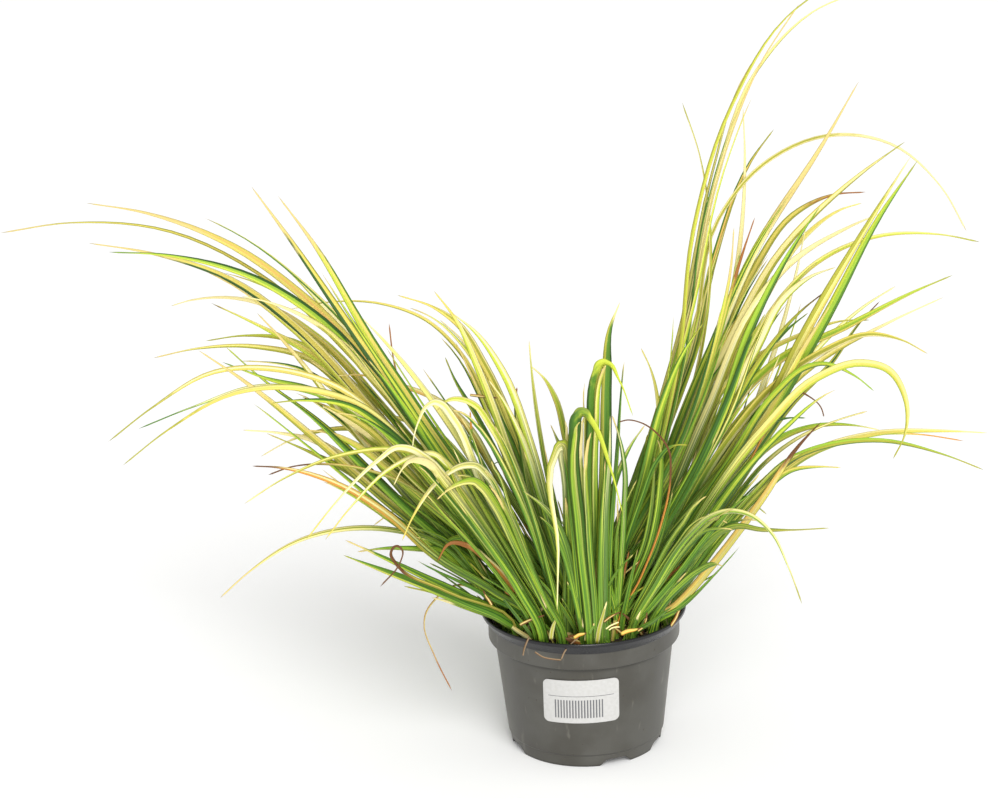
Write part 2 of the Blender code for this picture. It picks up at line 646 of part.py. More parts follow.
def width_share(v):
    """A blade's width along it: narrow in its sheath, full below the middle, tapering to a needle tip."""
    return min(1.0, BASE_WIDTH_SHARE + WIDENING * v) * (1 - v ** TAPER)


def view_of(line):
    """What a leaf turns its face against: the eye's view, or straight down where it runs from the eye."""
    run = (line[-1] - line[0]).normalized()
    return -UP if run.dot(EYE_AHEAD) > RUNS_AWAY else EYE_AHEAD


def facing_of(along, view, before):
    """The way across a blade that turns its full face against the view, on the same side as the one before."""
    seen = along.cross(view)
    if seen.length < LEAST_SEEN:
        return before
    seen.normalize()
    return -seen if seen.dot(before) < 0 else seen


def blade(line, width, extra=0.0):
    """Corners and faces of a leaf blade along a line: a flat upper face and a keel, closed at its foot."""
    bend = bend_of(line)
    rings = max(LEAST_SEGMENTS, min(MOST_SEGMENTS, LEAST_SEGMENTS + round(bend / BEND_A_SEGMENT)))
    stations = even_steps(line, rings - NEEDLE_SHARE, BEND_LENGTH)
    corners = []
    view = view_of(line)
    seen = RIGHT
    for i in range(rings):
        v = i / (rings - NEEDLE_SHARE)
        along = (stations[i + 1] - stations[max(0, i - 1)]).normalized()
        seen = facing_of(along, view, seen)
        away = along.cross(seen).normalized()
        turn = FACE_TURN - TURN_A_RADIAN * min(bend, MOST_TURNING_BEND) * min(1.0, v / TURNED_BY)
        across = (away * math.cos(turn) + seen * math.sin(turn)).normalized()
        under = across.cross(along).normalized()
        half = width_share(v) * width / 2 + extra
        deep = TIP_THICKNESS + (LEAF_THICKNESS - TIP_THICKNESS) * (1 - v) + extra
        upper = stations[i] - under * extra
        corners += [upper - across * half, upper + across * half, stations[i] + under * deep]
    corners.append(stations[-1])
    faces = [(0, 2, 1)]
    for low in range(0, 3 * (rings - 1), 3):
        for side in range(3):
            beside = (side + 1) % 3
            faces.append((low + side, low + beside, low + 3 + beside, low + 3 + side))
    tip = len(corners) - 1
    faces += [(tip - 3 + side, tip - 3 + (side + 1) % 3, tip) for side in range(3)]
    return corners, faces


def tree_of(corners, faces):
    return BVHTree.FromPolygons(corners, faces, all_triangles=False)


class Neighbours:
    """What stands already: a leaf is swung until it clears all of it."""

    def __init__(self):
        self.trees = []
        self.stems = []

    def add(self, owner, corners, faces):
        self.trees.append((owner, tree_of(corners, faces)))

    def meet(self, owner, line, width):
        from_others = tree_of(*blade(line, width, LEAF_CLEARANCE))
        from_own = tree_of(*blade(line, width, OWN_CLEARANCE))
        if any(from_others.overlap(tree) for name, tree in self.stems if name != owner):
            return True
        return any((from_own if name == owner else from_others).overlap(tree) for name, tree in self.trees)

    def clear_line(self, owner, width, line_at):
        """The first of a leaf's lines, swung ever further to either side, that meets nothing."""
        for swing in range(MOST_SWINGS):
            side = 1 if swing % 2 else -1
            line = line_at(side * ((swing + 1) // 2) * SWING_STEP)
            if not self.meet(owner, line, width):
                return line
        return None


def foot_of(shoot):
    x, y = shoot.foot[0] * MM, shoot.foot[1] * MM
    return Vector((x, y, peat_height(x, y)))


def root_of(foot, across, place_in_row):
    """Where a leaf starts in its stem base: leaves stand face to face in a row, counted from its middle."""
    return foot + UP * ROOT_HEIGHT + across * place_in_row * ROOT_SPACING


def row_place(index, keys):
    """A leaf's place in the row of its shoot, by its key's rank."""
    rank = sorted(keys).index(keys[index])
    return rank - (len(keys) - 1) / 2


def picked_line(root, grown, swing):
    """The line of a leaf through its marks, its distance back growing evenly from its root to its tip."""
    marks = [Vector(mark) for mark in reversed(grown.marks)]
    places = [in_picture(root), *marks]
    runs = [0.0]
    for a, b in zip(places, places[1:]):
        runs.append(runs[-1] + (b - a).length)
    points = [root]
    for mark, run in zip(marks, runs[1:]):
        share = run / runs[-1]
        points.append(on_sight_line(mark, root.y + share * (grown.back + swing - root.y)))
    return smooth_route(points)


def inner_line(line, share, offset, spread, swing):
    """A shorter leaf beside another: it follows the first part of its line and drifts off to one side."""
    length = max(3, round(len(line) * share))
    points = []
    for i, point in enumerate(line[:length]):
        drift = (i / (length - 1)) ** 1.4
        points.append(point + offset + drift * (spread + Vector((0, swing, 0))))
    return points


def arched_line(root, turn, reach, rise, droop, swing):
    """A leaf that rises from its root, arches over in one compass direction and droops."""
    away = Vector((math.cos(turn), math.sin(turn), 0))
    aside = Vector((-away.y, away.x, 0)) * swing
    line = []
    for i in range(25):
        t = i / 24
        out = reach * t ** 1.35
        height = rise * (1.75 * t - 0.75 * t ** 2.6) + droop * (0.4 * t - 1.4 * t ** 2.6)
        line.append(root + away * out + UP * height + aside * t ** 1.3)
    return line


def stem_ring(middle, across, leaves, share, grow):
    """The four corners of a stem base round a row of leaves, the row running across."""
    beside = Vector((across.y, -across.x, 0)) * (STEM_HALF_WIDTH * share + grow)
    deep = across * ((STEM_EDGE + leaves * ROOT_SPACING / 2) * share + grow)
    return [middle - beside - deep, middle + beside - deep, middle + beside + deep, middle - beside + deep]


def stem_points(foot, across, leaves):
    """A stem base: a point below the peat, a ring in its surface and a ring above."""
    low = stem_ring(foot + UP * 0.5 * MM, across, leaves, 1.0, 0.0)
    high = stem_ring(foot + UP * STEM_HEIGHT, across, leaves, STEM_TOP_SHARE, 0.0)
    return [foot - UP * STEM_DEPTH, *low, *high]


def hull_mesh(name, points):
    def build(bm):
        verts = [bm.verts.new(point) for point in points]
        bmesh.ops.convex_hull(bm, input=verts)
    return mesh_from(build, name)


def join_shoot(shoot, foot, across, widths, lines, collection, cutters, surface):
    """One solid of a stem base and its leaves.

    Leaf unions use MANIFOLD, because EXACT leaves nothing of some shoots where leaves cross in the stem base.
    """
    points = stem_points(foot, across, len(lines))
    joined = place(hull_mesh(shoot.name, points), shoot.name, collection, surface)
    for index, (width, line) in enumerate(zip(widths, lines)):
        name = f"{shoot.name}_leaf_{index}"
        piece = as_cutter(place(mesh_from_faces(name, *blade(line, width)), name, cutters, surface))
        add_boolean(joined, piece, "UNION", "MANIFOLD")


def mesh_from_faces(name, corners, faces):
    def build(bm):
        verts = [bm.verts.new(corner) for corner in corners]
        for face in faces:
            bm.faces.new([verts[i] for i in face])
    return mesh_from(build, name)


def cut_pocket(peat, name, foot, across, leaves, cutters, surface):
    """A pocket in the peat that the stem base stands in."""
    spread = 1 + POCKET_OVER / STEM_DEPTH
    mouth = stem_ring(foot + UP * (0.5 * MM + POCKET_OVER), across, leaves, spread, POCKET_CLEARANCE)
    points = [foot - UP * (STEM_DEPTH + 3 * POCKET_CLEARANCE), *mouth]
    pocket = as_cutter(place(hull_mesh(f"{name}_pocket", points), f"{name}_pocket", cutters, surface))
    add_boolean(peat, pocket, "DIFFERENCE")


def stem_keep_out(neighbours, name, foot, across):
    """A leaf keeps clear of the stem bases of the other shoots."""
    mesh = hull_mesh(f"{name}_keep_out", stem_points(foot, across, USUAL_LEAVES))
    corners = [vert.co.copy() for vert in mesh.vertices]
    faces = [tuple(face.vertices) for face in mesh.polygons]
    neighbours.stems.append((name, tree_of(corners, faces)))
    bpy.data.meshes.remove(mesh)


def pot_keep_out(neighbours):
    """The pot's lip and upper wall, which every leaf passes over."""
    rings = [
        (COLLAR_RADIUS - WALL, COLLAR_TOP),
        (LIP_RADIUS - WALL, LIP_TOP),
        (LIP_RADIUS, LIP_TOP),
        (LIP_RADIUS, LIP_TOP - LIP_BAND),
        (COLLAR_RADIUS, COLLAR_TOP),
        (COLLAR_RADIUS, BODY_TOP),
    ]
    corners = []
    for radius, height in rings:
        for i in range(POT_STEPS):
            angle = 2 * math.pi * i / POT_STEPS
            corners.append(Vector((radius * math.cos(angle), radius * math.sin(angle), height)))
    faces = []
    for low in range(0, len(corners) - POT_STEPS, POT_STEPS):
        for i in range(POT_STEPS):
            a = low + i
            b = low + (i + 1) % POT_STEPS
            faces.append((a, b, b + POT_STEPS, a + POT_STEPS))
    neighbours.add("pot", corners, faces)


def keep_line(neighbours, owner, width, line, widths, lines):
    neighbours.add(owner, *blade(line, width))
    widths.append(width)
    lines.append(line)


def picked_lines(shoot, foot, neighbours):
    """The widths and lines of a shoot's leaves, each settled clear of what stands already."""
    widths = []
    lines = []
    backs = [grown.back for grown in shoot.leaves]
    for index, grown in enumerate(shoot.leaves):
        root = root_of(foot, AWAY, row_place(index, backs))
        line = neighbours.clear_line(shoot.name, grown.width, lambda swing: picked_line(root, grown, swing))
        if line:
            keep_line(neighbours, shoot.name, grown.width, line, widths, lines)
    return widths, lines


def add_inner_leaf(shoot, neighbours, widths, lines, chance):
    """One shorter leaf beside the shoot's first one, in front of or behind the row, which fills the clump."""
    share = chance.uniform(*INNER_SHARE)
    side = chance.choice((-1, 1))
    aside = chance.uniform(-INNER_ASIDE, INNER_ASIDE)
    spread = Vector((aside, side * chance.uniform(*INNER_AWAY), -chance.uniform(*INNER_LOWER)))
    width = chance.uniform(*INNER_WIDTH)
    backs = [line[0].y for line in lines]
    beyond = (max(backs) if side > 0 else min(backs)) + side * ROOT_SPACING
    offset = AWAY * (beyond - lines[0][0].y)
    line = neighbours.clear_line(
        shoot.name, width, lambda swing: inner_line(lines[0], share, offset, spread, swing)
    )
    if line:
        keep_line(neighbours, shoot.name, width, line, widths, lines)


def back_lines(shoot, foot, across, neighbours, chance):
    """A fan of arching leaves at the back of the pot."""
    widths = []
    lines = []
    for index in range(BACK_LEAVES):
        turn = math.radians(shoot.turn + BACK_SPREAD * (index - (BACK_LEAVES - 1) / 2))
        reach = shoot.reach * MM * chance.uniform(0.7, 1.15)
        rise = shoot.rise * MM * chance.uniform(0.75, 1.1)
        droop = BACK_DROOP * chance.uniform(0.2, 1.2)
        width = BACK_LEAF_WIDTH * chance.uniform(0.8, 1.15)
        root = root_of(foot, across, index - (BACK_LEAVES - 1) / 2)
        line = neighbours.clear_line(
            shoot.name, width, lambda swing: arched_line(root, turn, reach, rise, droop, swing)
        )
        if line:
            keep_line(neighbours, shoot.name, width, line, widths, lines)
    return widths, lines


def across_of(shoot):
    """The direction in which a shoot's leaves stand in a row."""
    if isinstance(shoot, BackShoot):
        turn = math.radians(shoot.turn)
        return Vector((-math.sin(turn), math.cos(turn), 0))
    return AWAY


def make_shoots(peat, collection, cutters, surface):
    chance = random.Random(41)
    neighbours = Neighbours()
    pot_keep_out(neighbours)
    picked = LEFT_SHOOTS + MIDDLE_SHOOTS + RIGHT_SHOOTS
    grown = picked + BACK_SHOOTS
    feet = {shoot.name: foot_of(shoot) for shoot in grown}
    for shoot in grown:
        stem_keep_out(neighbours, shoot.name, feet[shoot.name], across_of(shoot))
    found = {shoot.name: picked_lines(shoot, feet[shoot.name], neighbours) for shoot in picked}
    for shoot in picked:
        add_inner_leaf(shoot, neighbours, *found[shoot.name], chance)
    for shoot in BACK_SHOOTS:
        found[shoot.name] = back_lines(shoot, feet[shoot.name], across_of(shoot), neighbours, chance)
    for shoot in grown:
        widths, lines = found[shoot.name]
        foot = feet[shoot.name]
        across = across_of(shoot)
        middle = foot + across * sum((line[0] - foot).dot(across) for line in lines) / len(lines)
        join_shoot(shoot, middle, across, widths, lines, collection, cutters, surface)
        cut_pocket(peat, shoot.name, middle, across, len(lines), cutters, surface)


def main():
    clear_scene()
    plant = new_collection("potted_sweet_flag")
    cutters = new_collection("cutters")
    grey_plastic = material("grey_plastic", (0.125, 0.122, 0.108), 0.42)
    peat_brown = material("peat", (0.035, 0.022, 0.014), 0.95)
    white_paper = material("white_paper", (0.86, 0.86, 0.84), 0.6)
    leaf_green = material("striped_leaf", (0.36, 0.46, 0.08), 0.5)
    make_pot(plant, cutters, grey_plastic)
    peat = make_peat(plant, cutters, peat_brown)
    make_label(plant, white_paper)
    make_shoots(peat, plant, cutters, leaf_green)
    base = bpy.data.objects.new("potted_sweet_flag_base", None)
    plant.objects.link(base)
    for obj in plant.objects:
        if obj is not base:
            obj.parent = base


main()
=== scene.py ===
"""The looks of a golden sweet flag in its nursery pot.

The leaves are traced from the frame's shoots and rebuilt as smooth striped blades, with the shorter
leaves, the sheaths and the litter that fill the clump. The pot, the peat and the label are rebuilt finer
on their nodes. Everything is in metres, in the frame's own place.
"""

import math
import random
from collections import namedtuple

import bmesh
import bpy
from mathutils import Matrix, Vector, noise
from mathutils.geometry import interpolate_bezier


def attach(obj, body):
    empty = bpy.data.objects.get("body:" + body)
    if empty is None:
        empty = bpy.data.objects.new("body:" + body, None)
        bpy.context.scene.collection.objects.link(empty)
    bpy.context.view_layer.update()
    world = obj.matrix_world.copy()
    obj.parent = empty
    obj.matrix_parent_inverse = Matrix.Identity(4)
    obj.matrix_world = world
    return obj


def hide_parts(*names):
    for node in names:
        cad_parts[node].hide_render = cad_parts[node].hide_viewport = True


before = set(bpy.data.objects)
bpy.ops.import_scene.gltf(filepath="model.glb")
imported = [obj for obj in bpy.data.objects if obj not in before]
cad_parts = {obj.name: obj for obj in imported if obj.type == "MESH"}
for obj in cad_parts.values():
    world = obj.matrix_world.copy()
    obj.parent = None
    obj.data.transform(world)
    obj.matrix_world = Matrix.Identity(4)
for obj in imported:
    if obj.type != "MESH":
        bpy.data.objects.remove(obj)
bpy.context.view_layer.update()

MM = 0.001
UP = Vector((0, 0, 1))
AWAY = Vector((0, 1, 0))
RIGHT = Vector((1, 0, 0))

# The eye that saw the picture, and the picture in pixels
PICTURE_SIZE = (1000, 799)
PICTURE_FOCAL = 3119.0
EYE = Vector((-39.2, -1475.4, 693.9)) * MM
EYE_PITCH = math.radians(19.01)
EYE_ROLL = math.radians(1.88)
EYE_AHEAD = AWAY * math.cos(EYE_PITCH) - UP * math.sin(EYE_PITCH)
EYE_UNTURNED = AWAY * math.sin(EYE_PITCH) + UP * math.cos(EYE_PITCH)
EYE_UP = EYE_UNTURNED * math.cos(EYE_ROLL) + RIGHT * math.sin(EYE_ROLL)
EYE_RIGHT = RIGHT * math.cos(EYE_ROLL) - EYE_UNTURNED * math.sin(EYE_ROLL)
SENSOR_WIDTH = 36.0

# Pot, as its node is built
LIP_RADIUS = 52.5 * MM
LIP_TOP = 73.5 * MM
LIP_BAND = 1.6 * MM
COLLAR_RADIUS = 49.0 * MM
COLLAR_TOP = 66.8 * MM
COLLAR_BOTTOM = 58.3 * MM
BODY_TOP_RADIUS = 45.8 * MM
BODY_TOP = 57.0 * MM
BODY_FOOT_RADIUS = 40.2 * MM
FOOT_LINE = 7.1 * MM
FOOT_STEP = 0.6 * MM
FOOT_RADIUS = 38.6 * MM
WALL = 1.3 * MM
POT_STEPS = 128
POT_ROUNDING = 0.5 * MM
POT_SHARP = math.radians(34)
CHANNEL_TURNS = (-159, -69, -22, 84)
CHANNEL_HEIGHT = 3.6 * MM
CHANNEL_FOOT_WIDTH = 17.4 * MM
CHANNEL_TOP_WIDTH = 10.0 * MM
CHANNEL_START = 25.0 * MM
CHANNEL_ROUNDING = 0.7 * MM
DRAIN_PLACE = 32.0 * MM
DRAIN_RADIUS = 2.8 * MM
DRAIN_SIDES = 28

# Peat
PEAT_EDGE = 66.6 * MM
PEAT_CROWN = 2.0 * MM
PEAT_RINGS = 44
PEAT_SECTORS = 132
PEAT_LUMP = 0.9 * MM
PEAT_LUMP_SPAN = 9.0 * MM
PEAT_GRIT_SPANS = (2.6 * MM, 1.1 * MM)
PEAT_SIDE_FOOT = 30.0 * MM
PEAT_SEED = 5
CRUMBS = 900
CRUMB_RADIUS = (0.5, 1.6)
CRUMB_STRETCH = (0.7, 1.5)
CRUMB_FLATNESS = (0.5, 0.9)

# Shoots: the point of a stem base is this far below the place where its leaves start.
ROOT_ABOVE_POINT = 11.6 * MM
ROOT_SPACING = 1.4 * MM
ROOT_DEPTH = 6.0 * MM
NEEDLE_SHARE = 0.5
LEAST_RINGS = 3
CAD_BASE_SHARE = 0.62
CAD_WIDENING = 1.3
CAD_TAPER = 5.0
TRACE_WELD = 0.02 * MM

# Blades. Seeded draws pick from the ranges: lengths and widths are in mm, and the twist in degrees.
BASE_SHARE = 0.9
WIDENING = 0.6
TAPER = 3.8
SHEATH_TAPER = 2.0
LEAST_HALF_WIDTH = 0.38 * MM
STATIONS_A_RING = 6
UPPER_PLACES = (-1.0, -0.7, -0.35, 0.0, 0.35, 0.7, 1.0)
LOWER_PLACES = (0.7, 0.35, 0.0, -0.35, -0.7)
BLADE_THICKNESS = 0.7 * MM
EDGE_THICKNESS = 0.12 * MM
FIRST_STRIPE = (-0.55, -0.15)
STRIPE_WIDTH = (0.5, 0.95)
BLADE_FOLD = (0.08, 0.24)
BLADE_TWIST = (-18, 18)
RIPPLE = 0.06
RIPPLES_A_METRE = 50
FAN_SPREAD = 0.1
FAN_REACH = 30
FAN_MOST = 2.6 * MM
WIDE_LEAF = 3.5 * MM
LOW_TIP = 130.0 * MM
ARCH_DROP = 12.0 * MM
FOLLOWERS = 2
FOLLOWER_SHARES = (0.35, 0.8)
ARCHING_SHARES = (0.35, 0.55)
FOLLOWER_WIDTH = (2.0, 4.2)
SHEATH_LENGTH = (22, 46)
SHEATH_MOST = 0.6
SHEATH_WIDTH = (4.6, 6.4)

# Dead scraps on the peat and thin stray leaves, in mm where no unit is given
STRIP_STEPS = 5
LITTER_SEED = 17
LITTER = 130
LITTER_FIELD = ((-40, 40), (-44, 30))
LITTER_CIRCLE = 43
LITTER_REACH = 46.5 * MM
LITTER_LENGTH = (9, 26)
LITTER_WIDTH = (0.8, 3.0)
LITTER_RISES = (0.05, 0.1, 0.5, 1.2)
STRAYS = 110
STRAY_FIELD = ((-38, 38), (-40, 26))
STRAY_CIRCLE = 42
STRAY_SPREAD = 48
STRAY_LENGTH = (26, 68)
STRAY_WIDTH = (0.9, 2.2)
SCRAP_TAPER = 3.0

# Label
LABEL_WIDTH = 39.4 * MM
LABEL_HEIGHT = 24.6 * MM
LABEL_MIDDLE = 38.6 * MM
LABEL_CORNER = 3.0 * MM
LABEL_OFF_CENTRE = 3.6 * MM
LABEL_SLANT = math.radians(1.2)
LABEL_LIFT = 0.3 * MM
LABEL_THICKNESS = 0.2 * MM
LABEL_COLUMNS = 72
LABEL_ROWS = 24
LABEL_SHARP = math.radians(40)
LABEL_RULE = 3.1 * MM
LABEL_RULE_THICK = 0.32 * MM
LABEL_RULE_HALF = 17.0 * MM
LABEL_BARS_MIDDLE = (-1.3 * MM, -4.2 * MM)
LABEL_BARS_HALF = (12.5 * MM, 5.2 * MM)
LABEL_BAR_PITCH = 1.5 * MM

# Lights
SUN_STRENGTH = 2.0
SUN_ANGLE = math.radians(34)
SUN_FROM = (0.22, -0.95, 0.85)
SKY_STRENGTH = 0.66
SOFTBOX_PLACE = (0.12, -1.5, 0.22)
SOFTBOX_AIM = (0.0, 0.0, 0.08)
SOFTBOX_SIDE = 0.55
SOFTBOX_POWER = 12.0
FLOOR_HALF = 6.0


def linear(red, green, blue):
    """A display colour as scene-linear red, green and blue."""
    return tuple(((part / 255 + 0.055) / 1.055) ** 2.4 for part in (red, green, blue))


DEEP = linear(46, 84, 26)
GREEN = linear(80, 122, 33)
FRESH = linear(144, 176, 46)
OLIVE = linear(158, 156, 50)
LIME = linear(183, 194, 60)
GOLD = linear(208, 192, 90)
YELLOW = linear(222, 213, 122)
STRAW = linear(224, 211, 140)
CREAM = linear(232, 225, 168)
BUFF = linear(224, 210, 146)
TAN = linear(204, 184, 112)
APRICOT = linear(216, 176, 90)
ORANGE = linear(198, 138, 54)
RUSSET = linear(150, 94, 38)
BROWN = linear(98, 62, 30)
SHEATH = linear(172, 170, 114)
FIBRE = linear(132, 110, 84)

POT_DARK = linear(62, 60, 54)
POT_LIGHT = linear(75, 74, 69)
# Painted warm light on the pot's sides and back
POT_PAINTED_SIDE_LIGHT = linear(78, 74, 56)
POT_DUST = linear(146, 142, 130)
POT_DIRT = linear(52, 44, 36)
# Painted shade for the lines under the collar and in the foot step
POT_PAINTED_SHADE = linear(48, 47, 42)
POT_FOOT = linear(40, 38, 34)
POT_BLACK = linear(22, 22, 25)
PEAT_DARK = linear(22, 16, 12)
PEAT_BROWN = linear(64, 46, 32)
PEAT_FIBRE = linear(112, 82, 52)
PEAT_GRAIN = linear(206, 200, 184)
PAPER_SHADE = linear(176, 175, 172)
PAPER = linear(182, 181, 179)
INK = linear(96, 96, 98)
FLOOR_WHITE = linear(252, 252, 251)

# How the leaf material ages and stripes a blade: across it from -1 to 1, and metres from its foot
STRIPE_DRIFT = 0.7
STRIPE_BLUR = 0.07
ROOT_FADE = (0.15, 0.055)
VEIN_SHADE = (0.86, 1.1)
RIM_SHARE = 0.2

LEAF_PARTS = ("upper", "middle", "lower", "end")
Look = namedtuple("Look", (*LEAF_PARTS, "dry", "girth", "spots", "rooting"))


def look(upper, middle, lower, end=TAN, dry=0.95, girth=0.94, spots=0.05, rooting=0.95):
    """Colours of three stripes and the dry end, then the living share, the width, spots and green root."""
    return Look(upper, middle, lower, end, dry, girth, spots, rooting)


USUAL_LOOKS = (
    look(GREEN, FRESH, GOLD), look(LIME, FRESH, GREEN), look(FRESH, LIME, YELLOW),
    look(GOLD, LIME, GREEN), look(YELLOW, GOLD, LIME, TAN, 0.88),
    look(OLIVE, GOLD, OLIVE, BUFF, 0.85, 0.94, 0.3), look(GREEN, DEEP, FRESH, OLIVE),
    look(STRAW, CREAM, LIME, BUFF), look(DEEP, GREEN, LIME, OLIVE),
    look(STRAW, YELLOW, OLIVE, BUFF, 0.8, 0.94, 0.4),
)
INNER_LOOKS = (
    look(DEEP, GREEN, FRESH), look(GREEN, FRESH, LIME), look(FRESH, LIME, YELLOW), look(GREEN, LIME, GREEN),
    look(YELLOW, GOLD, LIME), look(LIME, YELLOW, FRESH), look(DEEP, GREEN, YELLOW),
    look(OLIVE, YELLOW, GREEN), look(FRESH, LIME, GREEN), look(YELLOW, LIME, FRESH),
    look(GREEN, DEEP, LIME), look(OLIVE, LIME, DEEP),
    look(STRAW, LIME, OLIVE, TAN, 0.85, 0.94, 0.3), look(GOLD, LIME, OLIVE, BUFF, 0.9, 0.94, 0.2),
)
SHEATH_LOOKS = (
    look(FRESH, GREEN, SHEATH, SHEATH, 0.75, 0.94, 0.3), look(SHEATH, FRESH, GREEN, BUFF, 0.7, 0.94, 0.4),
    look(GREEN, FRESH, GREEN, SHEATH, 0.8, 0.94, 0.1), look(SHEATH, TAN, SHEATH, TAN, 0.6, 0.94, 0.6, 0.3),
)
STRAY_LOOKS = (
    look(DEEP, GREEN, LIME), look(OLIVE, GREEN, LIME, TAN, 0.8), look(LIME, YELLOW, GREEN),
    look(CREAM, YELLOW, OLIVE), look(GREEN, DEEP, GREEN, OLIVE, 0.8),
    look(TAN, APRICOT, OLIVE, RUSSET, 0.7, 0.94, 0.3, 0.4),
)
LITTER_LOOKS = (
    look(TAN, BUFF, RUSSET, BROWN, 0.7, 0.94, 0.6, 0.0), look(RUSSET, TAN, BROWN, BROWN, 0.6, 0.94, 0.8, 0.0),
    look(SHEATH, STRAW, TAN, TAN, 0.8, 0.94, 0.5, 0.0), look(BROWN, RUSSET, TAN, BROWN, 0.5, 0.94, 0.8, 0.0),
)

